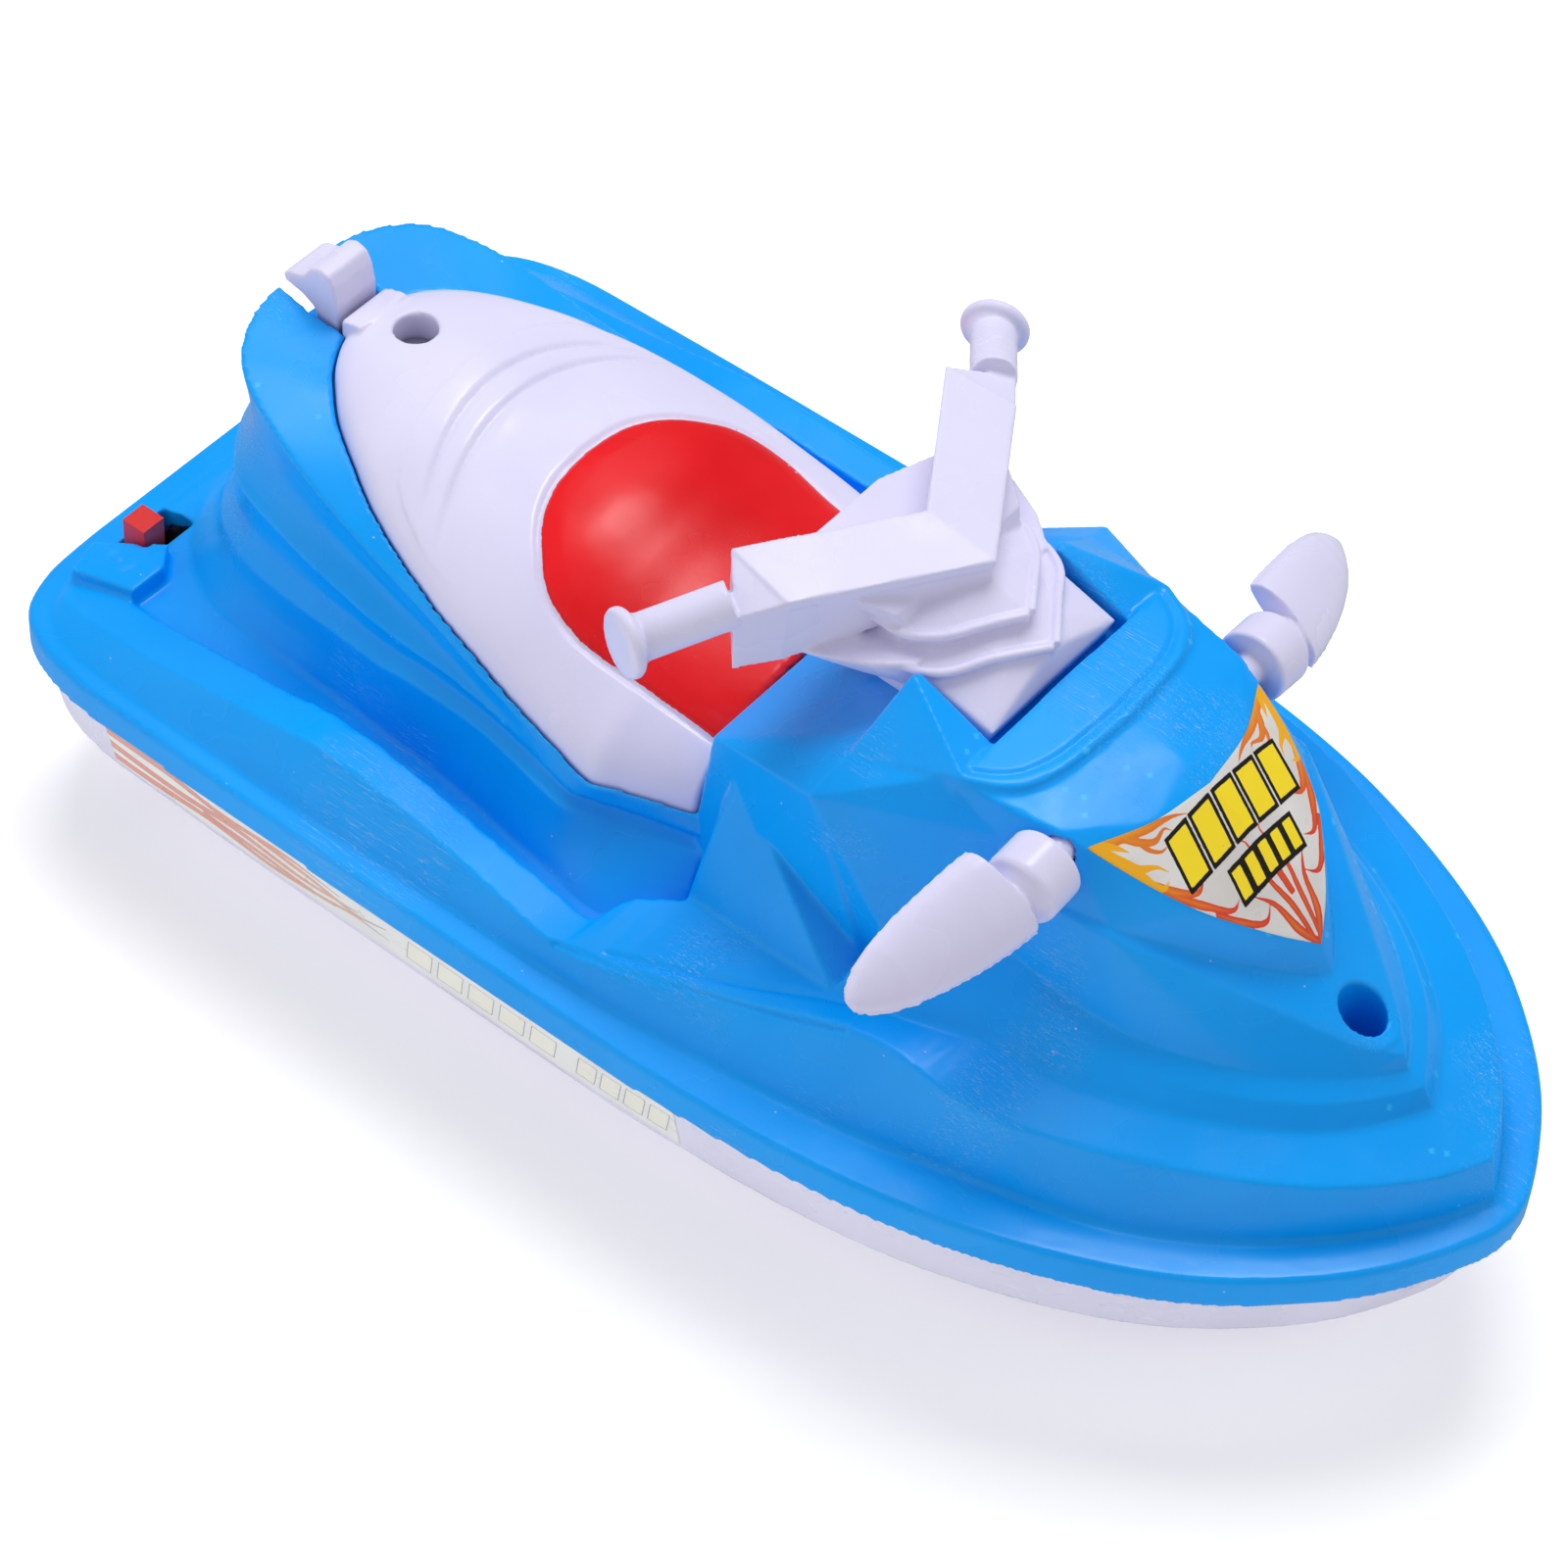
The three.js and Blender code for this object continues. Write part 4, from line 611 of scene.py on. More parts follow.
class Shader:
    """a material with one Principled shader, and short ways to add nodes"""

    def __init__(self, name):
        self.material = bpy.data.materials.new(name)
        self.material.use_nodes = True
        self.tree = self.material.node_tree
        self.tree.nodes.clear()
        output = self.add("ShaderNodeOutputMaterial")
        self.surface = self.add("ShaderNodeBsdfPrincipled")
        self.tree.links.new(self.surface.outputs[0], output.inputs[0])
        self.place = self.add("ShaderNodeTexCoord").outputs["Object"]

    def add(self, kind, **settings):
        node = self.tree.nodes.new(kind)
        for key, value in settings.items():
            setattr(node, key, value)
        return node

    def put(self, socket, value):
        if hasattr(value, "is_output"):
            self.tree.links.new(value, socket)
        else:
            socket.default_value = value

    def set(self, name, value):
        self.put(self.surface.inputs[name], value)

    def math(self, operation, a, b=0.0, clamp=False):
        node = self.add("ShaderNodeMath", operation=operation, use_clamp=clamp)
        for socket, value in zip(node.inputs, (a, b, 0.0)):
            self.put(socket, value)
        return node.outputs[0]

    def multiply(self, a, b):
        return self.math("MULTIPLY", a, b)

    def noise(self, scale, detail=3.0, rough=0.5, place=None):
        node = self.add("ShaderNodeTexNoise")
        self.put(node.inputs["Vector"], place or self.place)
        node.inputs["Scale"].default_value = scale
        node.inputs["Detail"].default_value = detail
        node.inputs["Roughness"].default_value = rough
        return node.outputs["Fac"]

    def ramp(self, value, span, to=(0.0, 1.0)):
        """a smooth step over span, from to[0] to to[1]"""
        node = self.add("ShaderNodeMapRange", interpolation_type="SMOOTHSTEP")
        self.put(node.inputs["Value"], value)
        node.inputs["From Min"].default_value, node.inputs["From Max"].default_value = span
        node.inputs["To Min"].default_value, node.inputs["To Max"].default_value = to
        return node.outputs[0]

    def mix(self, factor, a, b):
        node = self.add("ShaderNodeMix", data_type="RGBA")
        self.put(node.inputs[0], factor)
        self.put(node.inputs[6], a)
        self.put(node.inputs[7], b)
        return node.outputs[2]

    def mapping(self, scale, rotation=(0, 0, 0)):
        node = self.add("ShaderNodeMapping")
        self.put(node.inputs["Vector"], self.place)
        node.inputs["Scale"].default_value = scale
        node.inputs["Rotation"].default_value = rotation
        return node.outputs[0]

    def attribute(self, name):
        return self.add("ShaderNodeAttribute", attribute_name=name).outputs["Fac"]

    def bump(self, height, strength, distance, under=None):
        node = self.add("ShaderNodeBump")
        node.inputs["Strength"].default_value = strength
        node.inputs["Distance"].default_value = distance
        self.put(node.inputs["Height"], height)
        if under is not None:
            self.put(node.inputs["Normal"], under)
        return node.outputs[0]

    def specks(self, scale, dot, patch_scale, patch):
        """small round dots, kept only in patches"""
        cells = self.add("ShaderNodeTexVoronoi")
        self.put(cells.inputs["Vector"], self.place)
        cells.inputs["Scale"].default_value = scale
        dots = self.ramp(cells.outputs["Distance"], span=dot)
        return self.multiply(dots, self.ramp(self.noise(patch_scale, detail=2), span=patch))

    def hairlines(self, scale, rotation):
        """fine lines where a stretched noise crosses its middle value"""
        stretched = self.mapping(scale=(1, 26, 26), rotation=rotation)
        level = self.noise(scale, detail=1.5, place=stretched)
        off = self.math("ABSOLUTE", self.math("SUBTRACT", level, 0.5))
        return self.math("SUBTRACT", 1.0, self.ramp(off, span=(0.0, 0.008)))

    def wobble(self, scale, amount, **noise):
        centred = self.math("SUBTRACT", self.noise(scale, **noise), 0.5)
        return self.multiply(centred, amount)


def plastic(name, colour, wear_and_sheen_colour=None, roughness=0.45, dust=0.3, scratches=0.3, drift=0.06, shift=0):
    """moulded plastic with slow colour drift, paler edges that are partly wear and partly a painted
    edge highlight, dust, hairline scratches and faint orange peel; shift is added to the texture
    scales so that no two plastics match"""
    shader = Shader(name)
    dark = tuple(c * (1 - drift) for c in colour[:3]) + (1,)
    light = tuple(min(c * (1 + drift), 1) for c in colour[:3]) + (1,)
    clouds = shader.noise(28 + shift, detail=4, rough=0.55)
    tint = shader.mix(shader.ramp(clouds, span=(0.3, 0.7)), dark, light)
    # convex edges take a paler colour: partly wear, partly a painted highlight where rounded edges catch the light
    if wear_and_sheen_colour is not None:
        edges = shader.add("ShaderNodeNewGeometry").outputs["Pointiness"]
        wear_and_sheen = shader.multiply(shader.ramp(edges, span=(0.53, 0.62)), 0.55)
        tint = shader.mix(wear_and_sheen, tint, wear_and_sheen_colour)
    specks = shader.specks(380 + shift, dot=(0.075, 0.035), patch_scale=90 + shift,
                           patch=(0.56, 0.62))
    specks = shader.multiply(specks, dust)
    tint = shader.mix(specks, tint, (0.75, 0.82, 0.92, 1))
    lines = [shader.hairlines(75 + shift, rotation=(0.2, 0.1, 0.6)),
             shader.hairlines(86 + shift, rotation=(0.1, 0.3, -0.9))]
    hair = shader.math("MAXIMUM", *lines)
    patch = shader.ramp(shader.noise(34 + shift, detail=2), span=(0.54, 0.66))
    hair = shader.multiply(shader.multiply(hair, patch), scratches)
    tint = shader.mix(shader.multiply(hair, 0.35), tint, (0.8, 0.88, 1.0, 1))
    shader.set("Base Color", tint)
    rough = shader.ramp(shader.noise(60 + shift), span=(0.35, 0.7),
                        to=(roughness * 0.8, roughness * 1.35))
    rough = shader.math("ADD", rough, shader.multiply(hair, 0.25))
    rough = shader.math("ADD", rough, shader.multiply(specks, 0.4))
    shader.set("Roughness", rough)
    shader.set("IOR", 1.49)
    shader.set("Coat Roughness", 0.12)
    peel = shader.bump(shader.noise(420, detail=2), strength=0.06, distance=0.0004)
    wave = shader.bump(shader.noise(70, detail=2), strength=0.05, distance=0.002, under=peel)
    marks = shader.math("SUBTRACT", specks, hair)
    shader.set("Normal", shader.bump(marks, strength=0.35, distance=0.0001, under=wave))
    return shader.material


def metal(name, colour, roughness=0.32, brush=(1, 1, 30)):
    """brushed metal with tarnish; brush stretches the streaks"""
    shader = Shader(name)
    dark = tuple(c * 0.72 for c in colour[:3]) + (1,)
    tint = shader.mix(shader.ramp(shader.noise(160, detail=4), span=(0.3, 0.75)), colour, dark)
    spots = shader.ramp(shader.noise(300), span=(0.6, 0.75))
    tint = shader.mix(shader.multiply(spots, 0.35), tint, (0.3, 0.27, 0.22, 1))
    shader.set("Base Color", tint)
    shader.set("Metallic", 1.0)
    streak = shader.noise(300, detail=2, rough=0.6, place=shader.mapping(scale=brush))
    shader.set("Roughness", shader.ramp(streak, span=(0.2, 0.8),
                                        to=(roughness * 0.7, roughness * 1.5)))
    shader.set("Normal", shader.bump(streak, strength=0.12, distance=0.0002))
    return shader.material


# the second colour of each plastic is its paler edge colour: partly wear, partly a painted edge highlight
BLUE = plastic("blue_plastic", srgb(0, 160, 252), srgb(60, 196, 255), roughness=0.27, dust=0.45,
               scratches=0.8)
WHITE = plastic("white_plastic", srgb(219, 216, 244), roughness=0.26, dust=0.0, drift=0.02,
                shift=3)
# paler than the other white plastic, to lighten the hull where the deck rim shades it: painted light
HULL_WHITE_BRIGHTENED = plastic("hull_plastic_brightened", srgb(234, 232, 252), roughness=0.3, dust=0.1,
                     scratches=0.5, drift=0.03, shift=5)
# the paler red on the edges is partly wear, partly a painted edge highlight
RED = plastic("red_plastic", srgb(206, 22, 28), srgb(240, 70, 66), roughness=0.3, dust=0.4,
              scratches=0.5, shift=7)
BLACK = plastic("black_plastic", (0.012, 0.012, 0.014, 1), (0.06, 0.06, 0.06, 1), shift=9)
GREY = plastic("grey_plastic", (0.30, 0.31, 0.34, 1), (0.5, 0.5, 0.52, 1), shift=11)
CAP = plastic("cap_plastic", (0.68, 0.68, 0.66, 1), (0.9, 0.9, 0.9, 1), dust=0.2,
              scratches=0.2, shift=13)
CELL = plastic("cell_sleeve", (0.02, 0.03, 0.05, 1), (0.2, 0.2, 0.22, 1), roughness=0.3,
               scratches=0.5, shift=15)
RUBBER = plastic("rubber_tube", (0.02, 0.02, 0.02, 1), roughness=0.7, dust=0.5, scratches=0.0,
                 shift=17)
WIRE_RED = plastic("wire_red_pvc", (0.45, 0.015, 0.015, 1), roughness=0.4, dust=0.1,
                   scratches=0.0, shift=19)
WIRE_BLACK = plastic("wire_black_pvc", (0.012, 0.012, 0.013, 1), roughness=0.4, dust=0.1,
                     scratches=0.0, shift=21)
STEEL = metal("zinc_steel", (0.55, 0.56, 0.58, 1))
NICKEL = metal("nickel", (0.68, 0.67, 0.63, 1), roughness=0.28)
CAN = metal("motor_steel", (0.52, 0.53, 0.55, 1), roughness=0.35, brush=(30, 1, 1))
BRASS = metal("brass", (0.62, 0.43, 0.17, 1), roughness=0.3, brush=(30, 1, 1))

# ------------------------------------------------------------------- deck solids
# Corners of convex solids, (x, y, z)
CONSOLE = both_sides([
    (-4.4, 25, 33.9), (-5.3, 26.3, 19), (-5.3, 27.6, 5), (16.2, 31.6, 43.5),
    (17.2, 25.4, 46.7), (17, 21.9, 47.1), (30, 30.5, 6), (31, 14, 46.6), (31, 20, 46.6)])
FIN = [
    (17.2, 25.4, 46.7), (17, 21.9, 47.3), (19, 15.6, 54.9), (19.4, 14.4, 54.7),
    (31, 14.2, 49.9), (32.3, 22.1, 50.6), (17.2, 14.6, 44), (31, 14.2, 44), (31.5, 24, 44),
    (18, 25.5, 44)]
GUSSET = [
    (1.2, 26.8, 33.2), (-0.4, 33.8, 13), (-0.4, 33.8, 6), (-0.4, 24, 33), (-0.4, 24, 6),
    (26, 37.2, 17.6), (26, 37.2, 6), (27, 30, 19.4), (27, 24, 19.4), (27, 24, 6)]
FLANK = [
    (17.2, 25.4, 46.7), (16.2, 31.6, 43.3), (28.4, 30.8, 26), (27, 30, 19), (31.6, 21.5, 50.2),
    (43.7, 24.1, 27.5), (43.7, 20, 45), (18, 24, 20), (46, 18, 20), (45, 26, 19), (18, 24, 40)]
SHOULDER = [
    (28.4, 30.8, 26), (27, 30, 19.4), (26, 37.2, 17.6), (36, 35, 18.6), (46.5, 31, 18.5),
    (43.7, 24.1, 27.5), (45, 28.5, 22.6), (26, 24, 8), (48, 24, 8), (26, 37, 8), (46.5, 31, 8)]
LOWER_STEP = both_sides(
    dense(LOWER_STEP_INNER) + dense(LOWER_STEP_OUTER)
    + [p for p in dense(TIER_INNER, 400) if p[0] > 45] + [(44, 20, 8), (90, 0, 8), (60, 20, 8)])
UPPER_STEP = both_sides(
    dense(UPPER_STEP_TOP) + dense(HOOD_FOOT) + [(43.7, 24.1, 27.5)] + dense(UPPER_STEP_FOOT)
    + [(44, 20, 12), (80, 0, 12), (44, 22.8, 38.3)])
BROW_LINE = dense(BROW)
HOOD = both_sides(
    [(x, y, z - 0.9) for x, y, z in BROW_LINE] + dense(HOOD_TOP) + dense(HOOD_SIDE)
    + dense(HOOD_RIDGE) + [(45.6, 19.9, 48.6), (45, 22.4, 38.5), (56, 20.5, 38.3)]
    + dense(HOOD_FOOT) + [(56.9, 14.9, 42), (32, 22.3, 30), (32, 22, 12), (76, 0, 12)])
BROW_BLOCK = both_sides(
    BROW_LINE + [(31.9, 22.1, 50.6)]
    + [(x + 0.5, y + (0.3 if y > 1 else 0), z - 1.6) for x, y, z in BROW_LINE]
    + [(31.9, 22.3, 40), (31.9, 0, 51.4), (40, 0, 40)])
STERN_WEDGE = [  # on the starboard quarter only
    (-106.4, -35.6, 8.5), (-97.6, -29.6, 9.4), (-94.6, -33.6, 9.9), (-94.8, -39.6, 9.8),
    (-104.8, -41.4, 8.6), (-106.4, -35.6, 3), (-97.2, -29.3, 3), (-94, -33, 3),
    (-93.9, -40.4, 3), (-105, -42.2, 3)]

# Fine grooves on both sides, (x, y, z)
BROW_GROOVE = [
    (32.4, 20.3, 50.5), (35.2, 18.6, 50.5), (37.6, 15.8, 50.6), (39.4, 10.1, 51), (40.2, 0, 51.2)]
TIER_GROOVES = [
    [(-2.9, -47.0, 11.2), (5.2, -44.6, 12.7), (13.1, -42.5, 14.5), (21.0, -40.2, 16.3),
     (28.6, -37.7, 17.8)],
    [(-9.7, -49.6, 10.0), (-1.6, -48.5, 11.2), (11.1, -45.9, 13.5), (21.8, -43.6, 15.6),
     (31.4, -41.3, 18.0)]]
# Small ring and stroke pressed into the stern wedge
MARK_RING = [(-101.2 + math.cos(a), -35.9 + math.sin(a), 9.2)
             for a in np.linspace(0, 2 * math.pi, 40)]
MARK_STROKE = [(-98.6, -37.6, 9.45), (-97.6, -35.6, 9.55)]

# Port mirror's placement in the deck, and its bores: radius and reach along its own +Y
MIRROR_PLACE = (Matrix.Translation((46.1, 21.7, 45.2))
                @ Matrix.Rotation(-0.087, 4, "X"))
MIRROR_BORES = [(2.5, -5, 5), (5.7, -0.3, 2.7)]


def tail_solid(floor, ledge, flute, top, seat):
    rings = [at_height(floor, 4), floor]
    for t in (0.12, 0.3, 0.5, 0.7, 0.88):  # scooped wall from the footwell up to the ledge
        rings.append(inset(blend(floor, ledge, t), 0.9 * math.sin(math.pi * t)))
    rings.append(ledge)
    for t in (0.1, 0.25, 0.45, 0.65, 0.85):  # cove from the ledge up to the flute line
        rings.append(inset(blend(ledge, flute, t), 1.3 * math.sin(math.pi * t)))
    rings.append(flute)
    hollow = np.clip((-(flute[:, 0]) - 30) / 30, 0, 1)  # upper cove, deepest towards the stern
    for t in (0.08, 0.2, 0.35, 0.5, 0.65, 0.8, 0.92):
        ring = blend(flute, top, t)
        share = (1.9 * math.sin(math.pi * t ** 0.8) * hollow)[:, None]
        rings.append(ring + (inset(ring, 1.0) - ring) * share)
    return ring_solid(rings + [top, seat])


def shrunk(points, wall=2.2):
    """points drawn in by about a wall; the low ones go below the parting line"""
    centre = np.mean([p[:2] for p in points], axis=0)
    moved = []
    for x, y, z in points:
        dx, dy = x - centre[0], y - centre[1]
        moved.append((centre[0] + np.sign(dx) * max(abs(dx) - wall, 0),
                      centre[1] + np.sign(dy) * max(abs(dy) - wall * 1.15, 0),
                      z - wall * 1.25 if z > 14 else -1))
    return moved


def build_deck():
    def deck_row(outline):
        return stations(outline, 44, np.arange(-100, 46.01, 1.5), np.linspace(0.02, 1, 46))

    def well_row(outline):
        side_x = np.concatenate([np.arange(-98, -12, 2.0), np.arange(-11, -1, 0.5)])
        return stations(outline, 20, side_x, np.linspace(0.1, 1, 4))

    def tail_row(outline):
        return stations(outline, 80, np.arange(-70, -22.9, 1.2), np.linspace(0.04, 1, 24))

    rim_line, foot, edge, inner_edge = map(deck_row, (RIM, TIER_FOOT, TIER_EDGE, TIER_INNER))
    well_low, well_high = well_row(WELL_OUTER), well_row(WELL_TOP)
    well_inner = at_height(tail_row(WELL_INNER), WELL_FLOOR)
    ledge, flute, tail_top, seat_edge = map(tail_row, (LEDGE, FLUTE, TAIL_TOP, SEAT_EDGE))

    # outer form
    rim = ring_solid([at_height(rim_line, 0), at_height(rim_line, 4.7),
                      at_height(inset(rim_line, 0.45), 5.3), at_height(foot, 5.5)])
    tier = ring_solid([at_height(foot, 3), at_height(foot, 5.6), edge, inner_edge])
    cut(tier, ring_solid([at_height(well_low, WELL_FLOOR), at_height(well_high, 14.4)]))
    tail = tail_solid(well_inner, ledge, flute, tail_top, seat_edge)
    outer = union([
        rim, tier, tail, convex(CONSOLE), *convex_pair(FIN), *convex_pair(GUSSET),
        *convex_pair(FLANK), *convex_pair(SHOULDER), convex(LOWER_STEP), convex(UPPER_STEP),
        convex(HOOD), convex(BROW_BLOCK), convex(STERN_WEDGE)])

    # hollow underneath
    foot_in = inset(foot, 2.2)
    rim_in = ring_solid([at_height(inset(rim_line, 3), -1), at_height(foot_in, 3.2)])
    tier_in = ring_solid([at_height(foot_in, -1), at_height(foot_in, 3.2),
                          raised(inset(edge, 2.4), -2.4), raised(inset(inner_edge, 1.5), -2.4)])
    cut(tier_in, ring_solid([at_height(inset(well_low, -2), WELL_FLOOR - 2),
                             at_height(inset(well_high, -2.4), 30)]))
    well_in = inset(well_inner, 2.4)
    tail_in = ring_solid([
        at_height(well_in, -1), at_height(well_in, 5), inset(ledge, 3.2), inset(flute, 3.4),
        raised(inset(tail_top, 4.2), -3), raised(inset(tail_top, 7), -4.6)])
    deck = cut(outer, union([
        rim_in, tier_in, tail_in, convex(shrunk(CONSOLE, 2.6)), convex(shrunk(LOWER_STEP)),
        convex(shrunk(UPPER_STEP)), convex(shrunk(HOOD, 2.6))]))

    # recess for the seat, the opening under it, posts and holes
    recess = cut(ring_solid([raised(seat_edge, -2.3), at_height(seat_edge, 60)]), convex(CONSOLE))
    opening = cut(ring_solid([at_height(SEAT_OPENING, -3), at_height(SEAT_OPENING, 60)]),
                  convex(CONSOLE))
    cut(deck, recess, opening)
    union([deck, post(BOW_SCREW, 2, 23, 5.2), post(SEAT_SCREW, 22, 33, 4.4),
           post(PORT_SCREW, 1.2, 6.6, 3.6), post(STARBOARD_SCREW, 1.2, 7, 3.2)])
    latch_pocket = [(x, side * y, z) for x, y in ((-101, 4.9), (-92.5, 5.2), (-84.5, 4.2))
                    for z in (33.5, 50) for side in (1, -1)]
    socket_y = STEM_HALF_Y + STEM_GAP
    cut(deck, post(BOW_SCREW, 7, 40, BOW_HEAD_R, 64), post(BOW_SCREW, 0, 8, PILOT_R),
        post(SEAT_SCREW, 23.5, 40, 2.3), post(SEAT_SCREW, 34.2, 45, 5.3),
        post(PORT_SCREW, 0, 5.4, PILOT_R), post(STARBOARD_SCREW, 0, 5.6, PILOT_R),
        convex(latch_pocket), box(-105.4, -99.4, -32.0, -22.4, -1, 20),
        box(STEM_X[0] - STEM_GAP, STEM_X[1] + STEM_GAP, -socket_y, socket_y, 30, 60))
    for side in (1, -1):
        for radius, *reach in MIRROR_BORES:
            ends = [MIRROR_PLACE @ Vector((0, y, 0)) for y in reach]
            cut(deck, rod(*on_side(ends, side), radius))
    soften(deck, voxel(0.4, 0.8), smoothing=2)

    def mirrored_line(points):
        return np.vstack([smooth_curve(on_side(points, side), 120) for side in (1, -1)])

    # (line, depth, width)
    press(deck, [
        (mirrored_line(BROW_GROOVE), 0.42, 0.45),
        (mirrored_line(TIER_GROOVES[0]), 0.5, 0.45),
        (mirrored_line(TIER_GROOVES[1]), 0.5, 0.45),
        (smooth_curve(MARK_RING, 60), 0.3, 0.35),
        (smooth_curve(MARK_STROKE, 20), 0.3, 0.35)])
    tree = surface_tree(deck)
    finish(deck, "deck_moulding", "boat", "deck_shell", "blue_plastic", BLUE)
    return tree


# ------------------------------------------------------------------- hull shell
# Levels of the shell, lowest first: stern x, bow x, half beam, z
HULL_OUTSIDE = [
    (-106, 74, 18, -25), (-107.4, 93, 38, -20), (-108, 103.6, 51.6, -12.4),
    (-108.8, 108.6, 54.1, -0.3)]
HULL_INSIDE = [
    (-104, 70, 16.6, -23), (-105.2, 90, 36, -18.6), (-105.9, 100.6, 49.4, -12),
    (-106.6, 106, 51.9, 1)]


def hull_ring(stern_x, bow_x, half_beam, z):
    """the deck rim's outline scaled to one level of the hull"""
    curve = at_fractions(smooth_curve(RIM, 1200), np.linspace(0, 1, 160))
    share = (curve[:, 0] + HALF_LENGTH) / (2 * HALF_LENGTH)
    return np.stack([stern_x + (bow_x - stern_x) * share,
                     curve[:, 1] / HALF_BEAM * half_beam, np.full(len(curve), float(z))], 1)


def channel(end_x, low, high):
    """a channel in from the stern; low and high are its (half width, z)"""
    return convex(both_sides([(x, y, z) for x in (-112, end_x) for y, z in (low, high)]))


def build_hull():
    shell = ring_solid([hull_ring(*level) for level in HULL_OUTSIDE])
    inside = ring_solid([hull_ring(*level) for level in HULL_INSIDE])
    cut(inside, channel(-80.2, (15.3, -27), (13.8, -1.8)))
    cut(shell, inside, channel(-82, (13.5, -27), (12, -3.6)))
    small_posts = [(-40, 14.5), (-40, -14.5)]
    union([
        shell, post(BOW_SCREW, -20.2, 1.6, 4.2), post(PORT_SCREW, -16, 0.9, 3.4),
        post(STARBOARD_SCREW, -14.6, 0.9, 3.2),
        *[post(place, -24, -16.5, 2.8) for place in small_posts],
        box(-82.5, -79, -6, 6, -20, -9.5), box(-49, -46, -9, 9, -23.9, -22.3),
        box(-35, -32, -9, 9, -23.9, -22.3)])
    stern_screws = (PORT_SCREW, STARBOARD_SCREW)
    cut(shell, post(BOW_SCREW, -12, 3, PILOT_R),
        *[post(place, -20.5, -15, 1.2) for place in small_posts],
        rod((-84, 0, -14.5), (-78, 0, -14.5), 2.5),
        *[post(place, -30, 3, PILOT_R) for place in stern_screws],
        *[post(place, -30, -8.3, 2.9) for place in stern_screws])
    soften(shell, 0.8, smoothing=2)
    tree = surface_tree(shell)
    finish(shell, "hull_moulding", "boat", "hull_shell", "white_plastic", HULL_WHITE_BRIGHTENED)
    return tree


# ------------------------------------------------------------------- printed films
# Strokes: points of the middle line, then half widths along it.
# On the hood the points are (x, distance from the centre line)
HOOD_FLAMES = [
    ([(49.2, 18.5), (51.6, 14.2), (53.4, 10.8), (54.5, 7.4), (55.6, 5.2)],
     (0.9, 0.95, 0.7, 0.3, 0.02)),
    ([(51.4, 14.6), (53.6, 13.2), (54.9, 11.2), (54.7, 9.6), (55.6, 8.6)],
     (0.6, 0.5, 0.4, 0.22, 0.02)),
    ([(52.2, 13.4), (54.6, 13.0), (56.2, 11.4), (56.3, 10.0)], (0.5, 0.35, 0.2, 0.02)),
    ([(57.6, 15.4), (60.2, 13.6), (62.0, 11.0), (61.4, 9.4)], (0.4, 0.6, 0.4, 0.02)),
    ([(60.5, 14.0), (63.6, 11.6), (66.0, 8.4), (65.4, 6.6)], (0.4, 0.55, 0.35, 0.02)),
    ([(65.2, 11.0), (67.6, 8.6), (69.2, 5.6), (68.0, 3.4)], (0.35, 0.5, 0.3, 0.02)),
    ([(74.2, 0.2), (71.8, 2.2), (68.8, 3.2), (66.4, 5.4)], (0.35, 0.6, 0.35, 0.02)),
    ([(73.4, 0.6), (69.8, 1.1), (66.4, 1.9), (62.2, 1.5), (60.9, 3.2)],
     (0.35, 0.45, 0.35, 0.2, 0.02)),
    ([(69.0, 0.2), (64.4, 0.2), (61.6, -1.4), (60.9, -2.8)], (0.3, 0.35, 0.2, 0.02))]
HOOD_GOLD = [
    ([(49.4, 18.5), (52.6, 17.2), (55.4, 15.6), (56.9, 13.4), (58.2, 12.6)],
     (0.5, 0.95, 0.75, 0.35, 0.02)),
    ([(54.4, 16.2), (57.2, 15.6), (59.0, 14.2), (58.6, 12.9)], (0.6, 0.7, 0.4, 0.02)),
    ([(49.3, 18.4), (51.0, 16.6), (52.4, 15.6), (53.6, 14.9)], (0.5, 0.5, 0.35, 0.02))]
# On the hull's sides the points are (x, z)
SIDE_FLAMES = [
    ([(-89, -3.2), (-78, -2.9), (-66, -4.2), (-54, -3.1), (-44, -4.4)],
     (0.7, 0.75, 0.6, 0.4, 0.02)),
    ([(-89, -6.2), (-76, -6.7), (-64, -5.5), (-52, -6.6), (-40, -5.2)],
     (0.8, 0.7, 0.6, 0.4, 0.02)),
    ([(-89, -9.3), (-80, -9.1), (-70, -8.3), (-58, -9.3), (-46, -8.2)],
     (0.7, 0.75, 0.55, 0.4, 0.02)),
    ([(-70, -7.3), (-60, -7.7), (-50, -8.4), (-42, -7.0), (-36, -7.6)],
     (0.3, 0.5, 0.4, 0.25, 0.02)),
    ([(-62, -3.8), (-50, -4.8), (-42, -6.4), (-36, -4.8)], (0.3, 0.45, 0.3, 0.02))]


# Signed distances are positive inside; -9 stands for far outside
def strokes_distance(x, y, strokes):
    distance = np.full(x.shape, -9.0)
    for points, widths in strokes:
        curve = smooth_curve(points, 140)
        radii = np.interp(np.linspace(0, 1, 140), np.linspace(0, 1, len(widths)), widths)
        for (px, py, _), radius in zip(curve, radii):
            distance = np.maximum(distance, radius - np.hypot(x - px, y - py))
    return distance


def polygon_distance(x, y, corners):
    edges = list(zip(corners, corners[1:] + corners[:1]))
    area = 0.5 * sum(a[0] * b[1] - b[0] * a[1] for a, b in edges)
    distance = np.full(x.shape, 1e9)
    for (x0, y0), (x1, y1) in edges:
        cross = (x1 - x0) * (y - y0) - (y1 - y0) * (x - x0)
        length = math.hypot(x1 - x0, y1 - y0)
        distance = np.minimum(distance, math.copysign(1, area) * cross / length)
    return distance


